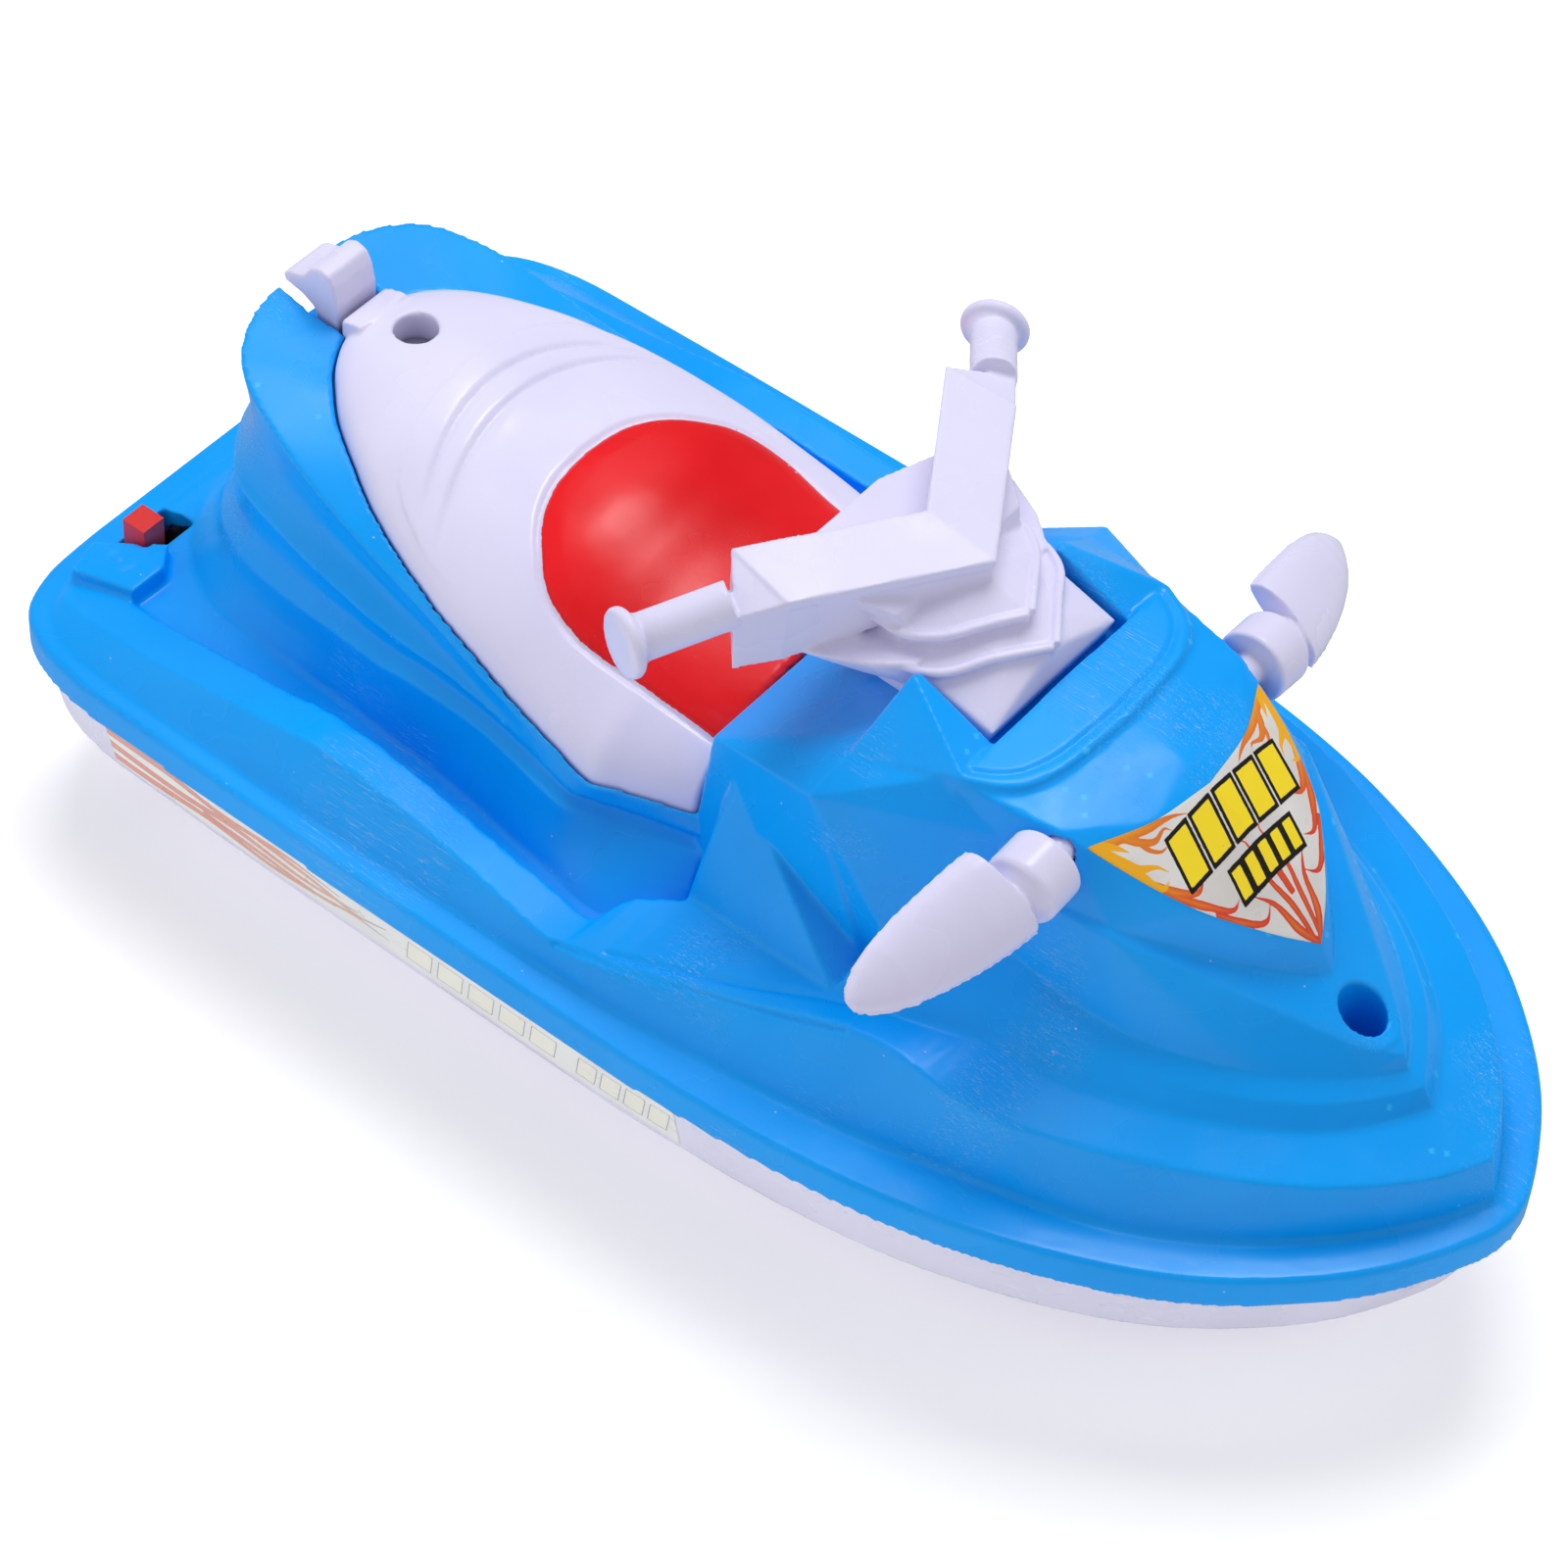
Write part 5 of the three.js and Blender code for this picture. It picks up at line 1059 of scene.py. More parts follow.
def bars_distance(u, v, across, along, count, width, gap, lean):
    """a row of slanted bars filling across (u) and along (v); width and gap scale to fit"""
    scale = (across[1] - across[0]) / (sum([width] * count) + gap * (count - 1))
    start, distance = across[0], np.full(u.shape, -9.0)
    for _ in range(count):
        stop = start + width * scale
        corners = [(start, along[0]), (stop, along[0]), (stop + lean, along[1]),
                   (start + lean, along[1])]
        distance = np.maximum(distance, polygon_distance(u, v, corners))
        start = stop + gap * scale
    return distance


def drape(tree, origins, direction, axis, missed):
    """the coordinate where a ray from each origin meets a surface"""
    hits = [tree.ray_cast(Vector(origin), Vector(direction))[0]
            for origin in origins.reshape(-1, 3)]
    found = [missed if hit is None else hit[axis] for hit in hits]
    return np.array(found, float).reshape(origins.shape[:2])


def blur(grid, times):
    for _ in range(times):
        pad = np.pad(grid, 1, mode="reflect", reflect_type="odd")
        grid = (pad[:-2, 1:-1] + pad[2:, 1:-1] + pad[1:-1, :-2] + pad[1:-1, 2:]
                + 4 * pad[1:-1, 1:-1]) / 8
    return grid


def film(grid, outward, distances):
    """a closed thin sheet over a grid of points, carrying signed distances per point"""
    top, under = grid + 0.14 * np.array(outward), grid - 0.3 * np.array(outward)
    m, n = grid.shape[:2]
    below = m * n
    faces = []
    for i in range(m - 1):
        for j in range(n - 1):
            a, b, c, d = i * n + j, i * n + j + 1, (i + 1) * n + j + 1, (i + 1) * n + j
            faces += [(a, b, c, d), (below + d, below + c, below + b, below + a)]
    border = list(range(n))
    border += [i * n + n - 1 for i in range(1, m)]
    border += [(m - 1) * n + j for j in range(n - 2, -1, -1)]
    border += [i * n for i in range(m - 2, 0, -1)]
    for a, b in zip(border, border[1:] + border[:1]):
        faces.append((b, a, below + a, below + b))
    ob = new_object(np.vstack([top.reshape(-1, 3), under.reshape(-1, 3)]), faces)
    bm = bmesh.new()
    bm.from_mesh(ob.data)
    save_outward(bm, ob.data)
    for key, values in distances.items():
        layer = ob.data.attributes.new(key, "FLOAT", "POINT")
        layer.data.foreach_set("value", np.tile(values.ravel(), 2).astype(np.float32))
    return ob


def film_material(name, ground, flame, flame_x, gold, bar, ink, ink_width, outline=0.0):
    """printed film; ground and flame are colour pairs, flame_x where along x the flame turns,
    ink_width the ink round the bars and outline the strength of ink round the flame"""
    shader = Shader(name)
    split = shader.add("ShaderNodeSeparateXYZ")
    shader.put(split.inputs[0], shader.place)
    ragged = shader.wobble(1500, amount=0.12, detail=2)

    def inside(key, grow=0.0):
        grown = shader.math("ADD", shader.attribute(key), grow)
        return shader.ramp(shader.math("ADD", grown, ragged), span=(-0.04, 0.04))

    tint = shader.mix(shader.ramp(shader.noise(90, detail=4), span=(0.3, 0.7)), *ground)
    fire = shader.mix(shader.ramp(split.outputs[0], span=flame_x), *flame)
    core = shader.ramp(shader.attribute("flame_sd"), span=(0.0, 0.9), to=(0.0, 0.6))
    fire = shader.mix(core, fire, gold)
    line = shader.math("SUBTRACT", inside("flame_sd", 0.12), inside("flame_sd"), clamp=True)
    tint = shader.mix(inside("flame_sd"), tint, fire)
    tint = shader.mix(shader.multiply(line, outline), tint, ink)
    tint = shader.mix(inside("gold_sd"), tint, gold)
    tint = shader.mix(inside("bar_sd", ink_width), tint, ink)
    tint = shader.mix(inside("bar_sd"), tint, bar)
    dust = shader.specks(520, dot=(0.1, 0.05), patch_scale=120, patch=(0.55, 0.6))
    tint = shader.mix(shader.multiply(dust, 0.5), tint, (0.4, 0.38, 0.36, 1))
    shader.set("Base Color", tint)
    shader.set("Roughness", shader.ramp(shader.noise(200), span=(0.3, 0.7), to=(0.26, 0.42)))
    shader.set("Normal", shader.bump(shader.noise(260, detail=2), strength=0.12,
                                     distance=0.0003))
    return shader.material


def build_hood_film(deck_tree):
    across = np.linspace(-1, 1, 200) * 18.35
    top, side = smooth_curve(HOOD_TOP, 200)[::-1], smooth_curve(HOOD_SIDE, 300)[::-1]
    x_top = np.interp(np.abs(across), top[:, 1], top[:, 0]) + 0.15
    x_low = np.interp(np.abs(across), side[:, 1], side[:, 0]) - 0.25
    down = np.linspace(0, 1, 160)
    x = x_top[:, None] * (1 - down) + np.maximum(x_low, x_top + 0.2)[:, None] * down
    y = np.repeat(across[:, None], len(down), 1)
    origins = np.stack([x, y, np.full_like(x, 60)], 2)
    z = blur(drape(deck_tree, origins, (0, 0, -1), axis=2, missed=40), 6)
    bars = np.maximum(
        bars_distance(y, -x, across=(-11.6, 11.0), along=(-61.2, -56.0), count=5, width=3.4,
                      gap=1.3, lean=1.5),
        bars_distance(y, -x, across=(-6.6, 6.0), along=(-66.2, -63.2), count=5, width=1.7,
                      gap=1.0, lean=0.8))
    sheet = film(np.stack([x, y, z], 2), (0, 0, 1), {
        "flame_sd": strokes_distance(x, np.abs(y), HOOD_FLAMES),
        "gold_sd": strokes_distance(x, np.abs(y), HOOD_GOLD), "bar_sd": bars})
    material = film_material(
        "front_film_print", ground=(srgb(222, 220, 218), srgb(206, 203, 200)),
        flame=(srgb(222, 116, 40), srgb(214, 58, 42)), flame_x=(0.055, 0.066),
        gold=srgb(238, 172, 28), bar=srgb(246, 218, 34), ink=srgb(30, 28, 26), ink_width=0.5)
    finish(sheet, "front_film", "boat", "front_sticker", "sticker_film", material)


def build_side_films(hull_tree):
    material = film_material(
        "side_film_print", ground=(srgb(246, 246, 244), srgb(240, 240, 238)),
        flame=(srgb(236, 150, 140), srgb(244, 192, 158)), flame_x=(-0.08, -0.03),
        gold=srgb(248, 208, 176), bar=srgb(248, 247, 234), ink=srgb(168, 170, 174),
        ink_width=0.15, outline=0.8)
    x, z = np.meshgrid(np.linspace(-88, 14, 380), np.linspace(-1.9, -10.5, 40), indexing="ij")
    flames = strokes_distance(x, z, SIDE_FLAMES)
    for side, name, node in ((1, "side_film_port", "side_sticker_left"),
                             (-1, "side_film_starboard", "side_sticker_right")):
        origins = np.stack([x, np.full_like(x, side * 80), z], 2)
        y = blur(drape(hull_tree, origins, (0, -side, 0), axis=1, missed=side * 50), 3)
        shape = {"along": (-8.7, -3.7), "lean": -1.2 * side}
        bars = np.maximum(
            bars_distance(x, z, across=(-33, -7), count=5, width=4.1, gap=1.3, **shape),
            bars_distance(x, z, across=(-3, 12), count=4, width=3.4, gap=1.2, **shape))
        sheet = film(np.stack([x, y, z], 2), (0, side, 0), {
            "flame_sd": flames, "gold_sd": np.full(x.shape, -9.0), "bar_sd": bars})
        finish(sheet, name, "boat", node, "sticker_film", material)


# ------------------------------------------------------------------- seat cover
# Height of the cover along its centre line, (x, z)
CROWN = [
    (-87, 39.2), (-84, 41.2), (-77.6, 42.7), (-70, 42.8), (-62, 41.9), (-55, 40.6),
    (-47, 39.5), (-38, 38.4), (-30, 36.2), (-23, 34.2), (-15, 33.1), (-5.8, 32.5)]
# Port half of the painted pad's outline, (x, y)
PAD = [
    (-46.8, 0), (-46.3, 6), (-45, 10.5), (-43, 14), (-39.9, 17.5), (-38, 19.3), (-35, 20.9),
    (-32, 21.7), (-29, 22.05), (-26, 21.9), (-23, 21.6), (-15, 21), (-6, 20.5)]
# Line of the low step across the cover, (distance from the centre line, x)
SEAT_STEP = [
    (0, -68.3), (8, -67.6), (12.5, -66.8), (17.3, -65), (20, -63.3), (22, -60.7), (25, -54.4),
    (27, -47)]


def pad_distance(x, y):
    """signed distance in plan to the pad's outline, positive inside"""
    line = smooth_curve(PAD, 500)
    y = np.abs(y)
    distance = np.full(len(x), 1e9)
    for px, py, _ in line:
        distance = np.minimum(distance, np.hypot(x - px, y - py))
    half = np.interp(x, line[:, 0], line[:, 1], left=-1, right=line[-1, 1])
    return np.where((y < half) & (x > line[0, 0]), distance, -distance)


def seat_relief(x, y, pad):
    """height added to the cover's top: crowned pad and its groove, step and two flutes"""
    y = np.abs(y)
    relief = np.where(pad > 0, 0.75 * np.clip(pad / 3.0, 0, 1) ** 0.6, 0)
    relief -= 0.5 * np.exp(-((pad + 0.35) / 0.55) ** 2)
    past = x - np.interp(y, *zip(*SEAT_STEP))
    rise = np.clip(past / 0.5, 0, 1)
    relief += (0.28 * rise ** 2 * (3 - 2 * rise) * (1 - np.clip(past / 4.4, 0, 1))
               * np.clip((26.5 - y) / 3, 0, 1))
    # flutes behind the pad, bowed towards the stern at the middle, fading at the sides
    for x_middle, x_side, y_end in ((-63.6, -56.6, 22.5), (-59.4, -52.4, 24.5)):
        out = np.clip(y / y_end, 0, 1.4)
        line = x_middle + (x_side - x_middle) * out ** 2
        relief -= 0.5 * np.exp(-((x - line) / 0.6) ** 2) * np.clip((1.02 - out) / 0.25, 0, 1)
    return relief


def seat_material():
    """white plastic with the pad painted red, its edge spattered"""
    shader = Shader("seat_two_colour")
    wobble = shader.wobble(900, amount=0.35, rough=0.6)
    pad = shader.math("ADD", shader.attribute("pad_sd"), wobble)
    painted = shader.ramp(pad, span=(-0.06, 0.06))
    splash = shader.specks(620, dot=(0.16, 0.08), patch_scale=160, patch=(0.56, 0.62))
    near = shader.ramp(shader.attribute("pad_sd"), span=(-2.6, -0.2))
    fleck = shader.multiply(splash, near)
    rim = shader.ramp(shader.attribute("pad_sd"), span=(2.2, 0.4))
    bare = shader.multiply(shader.multiply(splash, rim), 1.0)
    mask = shader.math("MAXIMUM", painted, shader.multiply(fleck, 0.8))
    mask = shader.math("SUBTRACT", mask, shader.multiply(bare, painted), clamp=True)
    white = shader.mix(shader.ramp(shader.noise(31, detail=4), span=(0.3, 0.7)),
                       srgb(218, 215, 244), srgb(225, 222, 248))
    red = shader.mix(shader.ramp(shader.noise(40, detail=4), span=(0.3, 0.7)),
                     srgb(222, 18, 26), srgb(236, 28, 36))
    shader.set("Base Color", shader.mix(mask, white, red))
    hair = shader.hairlines(80, rotation=(0.1, 0.2, 0.5))
    hair = shader.multiply(hair, shader.ramp(shader.noise(33, detail=2), span=(0.52, 0.66)))
    rough = shader.ramp(shader.noise(60), span=(0.35, 0.7), to=(0.17, 0.28))
    shader.set("Roughness", shader.math("ADD", rough, shader.multiply(hair, 0.15)))
    peel = shader.bump(shader.noise(420, detail=2), strength=0.06, distance=0.0004)
    lip = shader.bump(mask, strength=0.6, distance=0.00008, under=peel)
    grooves = shader.math("SUBTRACT", 0.0, hair)
    shader.set("Normal", shader.bump(grooves, strength=0.25, distance=0.0001, under=lip))
    return shader.material


def build_seat():
    crown = smooth_curve(CROWN, 600)
    edge = inset(stations(SEAT_EDGE, 70, np.arange(-78, -19.7, 0.8), np.linspace(0.05, 1, 20)), 0.4)
    edge[:, 0] = np.minimum(edge[:, 0], -5.9)

    def ring(share, narrower=0.0, lower=0.0):
        """the edge drawn in to a share of its width and raised over the crown"""
        line = edge.copy()
        line[:, 1] = np.maximum(edge[:, 1] - narrower, 0) * share
        rise = np.interp(edge[:, 0], crown[:, 0], crown[:, 1]) - edge[:, 2]
        line[:, 2] = edge[:, 2] + rise * math.sqrt(max(1 - share * share, 0)) - lower
        return line

    def end_walls(line):
        """draws a line in along x at its bow and stern ends"""
        line = line.copy()
        line[:, 0] += np.where(line[:, 0] > -40, -1.8, np.where(line[:, 0] < -84, 2.2, 1.0))
        return line

    shares = [math.sin(a) for a in np.linspace(math.pi / 2, 0.03, 46)]
    seat = ring_solid([raised(edge, -1.9), raised(inset(edge, -0.1), -0.9)]
                      + [ring(share) for share in shares] + [ring(0.0)])
    bottom = raised(edge, -9)
    bottom[:, 1] = np.maximum(bottom[:, 1] - 2, 0)
    cut(seat, ring_solid([end_walls(bottom)] + [
        end_walls(ring(share, 2, 2.0)) for share in (0.97, 0.9, 0.8, 0.65, 0.5, 0.3, 0.0)]))
    stern_tab = [(x, side * y, z)
                 for x, y, heights in ((-87.3, 4.6, (38, 40.9)), (-83.5, 4.8, (38.4, 42.0)))
                 for z in heights for side in (-1, 1)]
    union([seat, post(SEAT_SCREW, 34.6, 40.6, 4.8), convex(stern_tab)])
    cut(seat, post(SEAT_SCREW, 36, 50, SEAT_HEAD_R, 64), post(SEAT_SCREW, 30, 36.8, PILOT_R))
    soften(seat, voxel(0.42, 0.7), smoothing=2)

    places, normals = read_mesh(seat)
    top = (normals[:, 2] > 0.25) & (places[:, 2] > 20)
    pad = pad_distance(places[:, 0], places[:, 1])
    relief = seat_relief(places[:, 0], places[:, 1], pad)
    places[top] += normals[top] * relief[top][:, None]
    write_mesh(seat, places)
    layer = seat.data.attributes.new("pad_sd", "FLOAT", "POINT")
    layer.data.foreach_set("value", np.where(top, pad, -5.0).astype(np.float32))
    finish(seat, "seat_cover_moulding", "seat", "seat_cover", "seat_white", seat_material())


# ------------------------------------------------------------------- seat latch
# Side profile, (x, z)
LATCH = [
    (-88.8, 35.4), (-88.3, 38.2), (-88.4, 42), (-89.0, 45), (-90.0, 46.7), (-91.8, 47.2),
    (-93.4, 46.4), (-94.3, 44.7), (-95.2, 44.1), (-97.4, 43.5), (-98.4, 42.6), (-98.0, 41.4),
    (-95, 40.8), (-92.8, 39.6), (-91.6, 35.4), (-89.9, 34.4)]
LATCH_HALF_WIDTH = 4.1


def build_latch():
    verts = [(x, side * LATCH_HALF_WIDTH, z) for side in (-1, 1) for x, z in LATCH]
    n = len(LATCH)
    faces = [range(n), range(2 * n - 1, n - 1, -1)]
    faces += [(i, (i + 1) % n, n + (i + 1) % n, n + i) for i in range(n)]
    latch = soften(clean(new_object(verts, faces)), 0.28, smoothing=10)
    finish(latch, "seat_latch_moulding", "latch", "seat_latch", "white_plastic", WHITE)


# --------------------------------------------------------------- handlebar moulding
# Corners of convex solids, (x, y, z)
PLATE = both_sides([
    (-5.5, 0, 55), (-5.8, 9, 55), (-3, 17.5, 55), (5.5, 22, 54.8), (13.5, 18.2, 54.8),
    (18.4, 14, 54.8), (-4, 0, 51), (-4, 8, 51), (-1.6, 15, 51), (5.5, 18, 50.6),
    (13, 15.6, 50.4), (18.2, 13.4, 50.4)])
APRON = both_sides([
    (30.4, 13.2, 50), (29.6, 13.2, 47.4), (29.4, 2.5, 53.6), (29.3, 0, 54), (30.3, 0, 50.6),
    (25, 4, 55.4), (19.3, 0, 57.4), (14, 13.5, 54.4), (18.6, 13.6, 52.9), (8, 14, 53),
    (8, 13, 47.4), (19, 13.6, 47.4)])
COLUMN = both_sides([
    (-2, 9, 52), (14, 12, 52), (2, 8, 41), (16, 11, 46), (20, 11, 47.2), (20, 12, 52)])
LOW_TERRACE = both_sides([
    (29.9, 0, 55.1), (25.4, 6.5, 55.2), (21.4, 12.6, 54), (16, 14.6, 54), (10, 13, 55),
    (19, 0, 58.2), (29.5, 0, 53), (25, 6.4, 52.6), (21, 12.4, 51.6), (16, 14.2, 51.4),
    (10, 13, 51)])
HIGH_TERRACE = both_sides([
    (25.6, 0, 58.2), (22.6, 4.6, 58.1), (19.2, 9.8, 57.6), (14.6, 12.8, 57.4), (9, 12, 58),
    (18, 0, 60.6), (25.2, 0, 55), (22.2, 4.6, 54.6), (18.8, 9.8, 54.4), (14.4, 12.6, 54),
    (9, 12, 53)])
NECK = both_sides([(14, 13, 60), (6, 15, 60), (4, 12, 55), (16, 11, 55), (8, 17, 63)])
ARM = [
    (8.2, 0, 64.6), (19.1, 0, 62.9), (4.6, 23.8, 63.7), (-5.4, 22.1, 65.1), (4.6, 23.8, 53.8),
    (-5.2, 22.1, 55.5), (19.3, 0, 58.5), (8.1, 0, 56)]
ARM_END = [
    (4.9, 23.5, 64.1), (-5.4, 22.2, 65.5), (0.8, 29.2, 62.9), (4.9, 23.5, 53.8),
    (0.9, 29.0, 53.7), (-5.2, 22.2, 55.5)]
SLAB_TOP = [(8.4, 0, 65.3), (19.6, 0, 63.6), (4.9, 23.7, 64.3), (-5.6, 22.1, 65.8)]
SLAB = SLAB_TOP + [(x, y, z - 1.4) for x, y, z in SLAB_TOP]
# Beads along the terraces' edges
HIGH_BEAD = [
    (25.5, 0.3, 58.2), (22.5, 4.8, 57.9), (19.0, 9.9, 57.3), (15.0, 12.7, 57.2), (11.0, 13.6, 58.0)]
LOW_BEAD = [
    (29.8, 0.3, 55.3), (25.3, 6.6, 55.1), (21.2, 12.4, 54.1), (17.6, 14.4, 54.0),
    (13.6, 15.2, 54.6)]
BEAD_RADII = (0.6, 0.7, 0.7, 0.35)
GRIP = [(-1.2, 27, 62.6), (-9, 37.8, 58.7)]  # inboard and outboard ends
GRIP_FLANGE = [  # (radius, height)
    (2.8, -2.2), (3.4, -0.9), (3.8, -0.4), (4.5, 0.0), (4.75, 0.4), (4.75, 1.1), (4.4, 1.55),
    (3.0, 1.7)]


def build_handlebar():
    base = union([convex(PLATE), convex(APRON), convex(COLUMN)])
    soften(base, voxel(0.4, 0.7), smoothing=7)
    parts = [base, convex(LOW_TERRACE), convex(HIGH_TERRACE), convex(NECK)]
    for side in (1, -1):
        start, end = map(Vector, on_side(GRIP, side))
        flange = facing(end - 0.4 * (end - start).normalized(), Vector((-0.38, side * 0.92, 0.02)))
        parts += [convex(on_side(points, side)) for points in (ARM, ARM_END, SLAB)]
        parts += [bead(on_side(line, side), BEAD_RADII) for line in (HIGH_BEAD, LOW_BEAD)]
        parts += [rod(start, end, 3.15), lathe(GRIP_FLANGE, flange)]
    bars = union(parts)
    # clear the deck below by a small gap
    blocks = union([convex(CONSOLE), *convex_pair(FIN), convex(BROW_BLOCK), convex(HOOD)])
    blocks.data.transform(Matrix.Translation((0, 0, 0.35)))
    cut(bars, blocks)
    union([bars, box(*STEM_X, -STEM_HALF_Y, STEM_HALF_Y, 36, 52)])
    soften(bars, voxel(0.27, 0.6), smoothing=1)
    finish(bars, "handlebar_moulding", "boat", "handlebar_console", "white_plastic", WHITE)


# ---------------------------------------------------------------------- mirrors
# Blade sections in the mirror's frame, outboard along +Y:
# y, half height, share of full depth, centre x, centre z
BLADE = np.array([
    (8.2, 6.5, 1, -0.8, 1.6), (10, 6.5, 1, -1.1, 1.5), (13, 6.4, 0.98, -1.65, 1.15),
    (17, 6.05, 0.93, -2.55, 0.55), (21, 5.5, 0.85, -3.6, -0.15), (25, 4.55, 0.7, -4.7, -0.95),
    (28, 3.35, 0.52, -5.6, -1.65), (30, 2, 0.32, -6.2, -2.1), (31.1, 0.8, 0.15, -6.5, -2.3)])
BLADE_TURN = 0.997  # turn of the sections about Y, in radians
MIRROR_STEM = [  # (radius, distance along +Y)
    (2.2, -4.2), (2.2, 0), (4.9, 0), (5.25, 0.35), (5.3, 5.6), (5.0, 6.2), (4.3, 6.6),
    (3.9, 7.1), (3.5, 7.6), (3.4, 9.8)]


def blade_solid(start_y, grow, front, back, shift=0.0):
    """the blade from start_y outwards: grow widens its outline, front and back are the
    half depths of its section and shift moves it along its depth"""
    first, last = BLADE[0, 0], BLADE[-1, 0]
    stops = first + (last - first) * np.sin(np.linspace(0, math.pi / 2, 60))
    stops = stops[stops >= start_y]
    columns = [np.interp(stops, BLADE[:, 0], BLADE[:, k]) for k in (1, 2, 3, 4)]
    turn_cos, turn_sin = math.cos(BLADE_TURN), math.sin(BLADE_TURN)
    loops = []
    for y, half, share, centre_x, centre_z in zip(stops, *columns):
        loop = []
        for a in angles(96):
            depth = share * (front if math.cos(a) > 0 else back) * math.cos(a) + shift
            height = (half + grow) * math.sin(a)
            loop.append((centre_x + depth * turn_cos - height * turn_sin,
                         y + (grow if y > 25 else 0),
                         centre_z + depth * turn_sin + height * turn_cos))
        loops.append(loop)
    return skin(loops)


def build_mirror(side, name, node, body):
    # crowned front, a ledge round the outline and a hollowed back
    blade = union([blade_solid(8.2, grow=0, front=2.9, back=1.0),
                   blade_solid(8.2, grow=0.35, front=0.45, back=1.3, shift=-0.35)])
    cut(blade, blade_solid(9.6, grow=-1.2, front=0.2, back=1.6, shift=-1.35))
    mirror = union([blade, lathe(MIRROR_STEM, Matrix.Rotation(-math.pi / 2, 4, "X"))])
    mirror.data.transform(MIRROR_PLACE)
    if side < 0:
        mirror.data.transform(Matrix.Scale(-1, 4, (0, 1, 0)))
        mirror.data.flip_normals()
    soften(mirror, voxel(0.27, 0.5), smoothing=2)
    finish(mirror, name, body, node, "white_plastic", WHITE)


# ------------------------------------------------------ materials on the CAD pieces
CAD_MATERIALS = [
    (RED, ["switch_knob"]),
    (BLACK, ["switch_body"]),
    (STEEL, ["bow_screw", "seat_screw", "stern_screw_left", "stern_screw_right", "motor_shaft",
             "motor_strap_screw_left", "motor_strap_screw_right", "prop_shaft"]),
    (GREY, ["battery_tray", "motor_strap"]),
    (CELL, ["battery_left", "battery_right"]),
    (NICKEL, ["battery_bridge_contact", "battery_flat_contact", "battery_spring_contact"]),
    (CAN, ["motor_can"]),
    (CAP, ["motor_end_cap"]),
    (RUBBER, ["shaft_coupling"]),
    (BRASS, ["stern_tube"]),
    (WHITE, ["propeller"]),
    (WIRE_RED, ["wire_red"]),
    (WIRE_BLACK, ["wire_black"])]


def dress_cad_pieces():
    for material, names in CAD_MATERIALS:
        for name in names:
            materials = frame["nodes"][name].data.materials
            materials.clear()
            materials.append(material)


# ------------------------------------------------------------- floor, camera, light
def build_floor():
    """a faintly glowing white floor that looks dark in reflections"""
    corners = [(-4, -4, 0), (4, -4, 0), (4, 4, 0), (-4, 4, 0)]
    floor = new_object(corners, [(0, 1, 2, 3)], "floor")
    shader = Shader("floor_white")
    shader.set("Roughness", 0.9)
    shader.set("Specular IOR Level", 0.1)
    shader.set("Emission Color", (1, 1, 1, 1))
    glossy = shader.add("ShaderNodeLightPath").outputs["Is Glossy Ray"]
    glow = shader.math("SUBTRACT", 0.2, shader.multiply(glossy, 0.2))
    shader.set("Emission Strength", glow)
    white = shader.mix(shader.noise(3, detail=2), (0.93, 0.93, 0.93, 1), (0.95, 0.95, 0.95, 1))
    shader.set("Base Color", shader.mix(glossy, white, (0.32, 0.34, 0.38, 1)))
    floor.data.materials.append(shader.material)
    floor.location.z = -0.0002
    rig.stage(floor)


def build_camera():
    # direction from the target, in radians; target in the deck frame and distance, in mm
    azimuth, elevation, roll = -0.9547352619155254, 0.8444322787325891, 0.0793175645080068
    target = (1.266278958737519, -14.642635580519398, 20.0 + DEPTH)
    distance = 664.2355109222175
    back = Vector((math.cos(elevation) * math.cos(azimuth),
                   math.cos(elevation) * math.sin(azimuth), math.sin(elevation)))
    level = Vector((0, 0, 1)).cross(back).normalized()
    above = back.cross(level)
    right = math.cos(roll) * level + math.sin(roll) * above
    up = -math.sin(roll) * level + math.cos(roll) * above
    data = bpy.data.cameras.new("camera")
    camera = link_object(data, "camera")
    place = Matrix.Translation((Vector(target) + back * distance) * MM)
    camera.matrix_world = place @ Matrix((right, up, back)).transposed().to_4x4()
    data.sensor_width = 36
    data.lens = 115.61799617
    data.shift_x = -0.0048570031295
    data.shift_y = 0.00016444018488
    data.clip_start, data.clip_end = 0.01, 20
    bpy.context.scene.camera = camera


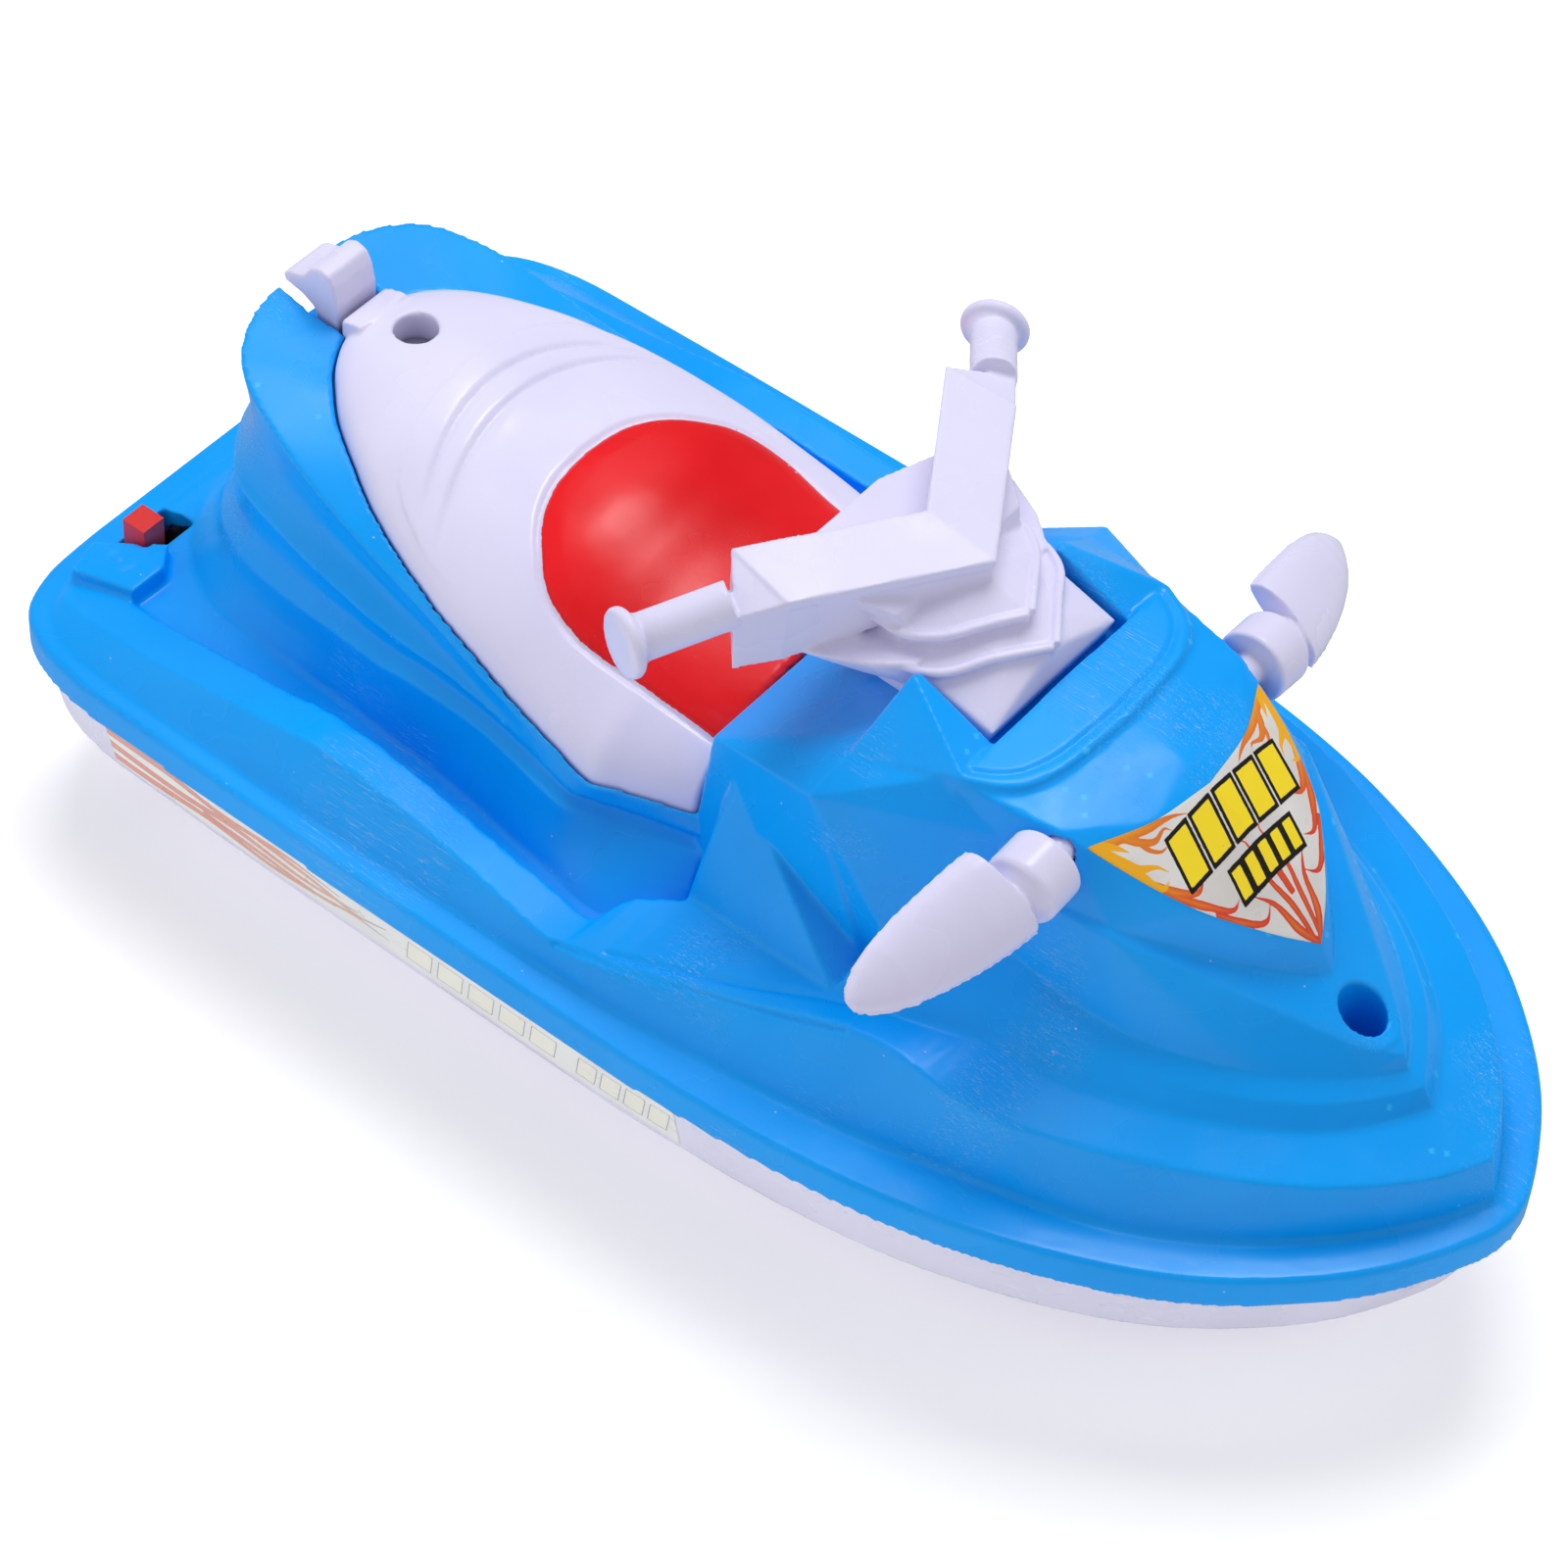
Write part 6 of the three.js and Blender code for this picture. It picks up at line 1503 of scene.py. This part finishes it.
def area_light(name, place, target, size, power):
    data = bpy.data.lights.new(name, "AREA")
    data.energy, data.size = power, size
    light = link_object(data, name)
    light.location = place
    aim = Vector(target) - Vector(place)
    light.rotation_euler = aim.to_track_quat("-Z", "Y").to_euler()
    return light


def build_lights():
    soft = [
        area_light("key", (-0.25, 0.35, 0.85), target=(0, 0, 0.03), size=0.6, power=5.7),
        area_light("fill", (-0.55, -0.7, 0.4), target=(0, 0, 0.03), size=0.8, power=2.2),
        area_light("bow", (0.75, 0.2, 0.6), target=(0.03, 0, 0.04), size=0.5, power=1.05)]
    for light in soft:
        light.visible_glossy = False
    # a small light that only shows as a highlight
    gloss = area_light("gloss", (-0.075, 0.33, 0.84), target=(0.045, 0, 0.05), size=0.2,
                       power=0.75)
    gloss.visible_diffuse = False


def build_world():
    """white surroundings, dimmer in reflections"""
    strength, glossy_change = 0.45, -0.34
    world = bpy.data.worlds.new("studio")
    bpy.context.scene.world = world
    world.use_nodes = True
    tree = world.node_tree
    background = tree.nodes["Background"]
    background.inputs[0].default_value = (1, 1, 1, 1)
    path = tree.nodes.new("ShaderNodeLightPath")
    dim = tree.nodes.new("ShaderNodeMath")
    dim.operation = "MULTIPLY_ADD"
    dim.inputs[1].default_value, dim.inputs[2].default_value = glossy_change, strength
    tree.links.new(path.outputs["Is Glossy Ray"], dim.inputs[0])
    tree.links.new(dim.outputs[0], background.inputs[1])


deck_tree = build_deck()
hull_tree = build_hull()
build_hood_film(deck_tree)
build_side_films(hull_tree)
build_seat()
build_latch()
build_handlebar()
build_mirror(1, "mirror_port_moulding", "mirror_left", "mirror_port")
build_mirror(-1, "mirror_starboard_moulding", "mirror_right", "mirror_starboard")
dress_cad_pieces()
build_floor()
build_camera()
build_lights()
build_world()
bpy.context.scene.view_settings.view_transform = "Standard"

VISUAL_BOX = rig.bounds()
try:
    with open("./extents.json", "w") as file:
        json.dump({"cad": [list(map(float, p)) for p in CAD_BOX],
                   "visual": [list(map(float, p)) for p in VISUAL_BOX]}, file)
except OSError:  # the folder may be missing or read-only
    pass
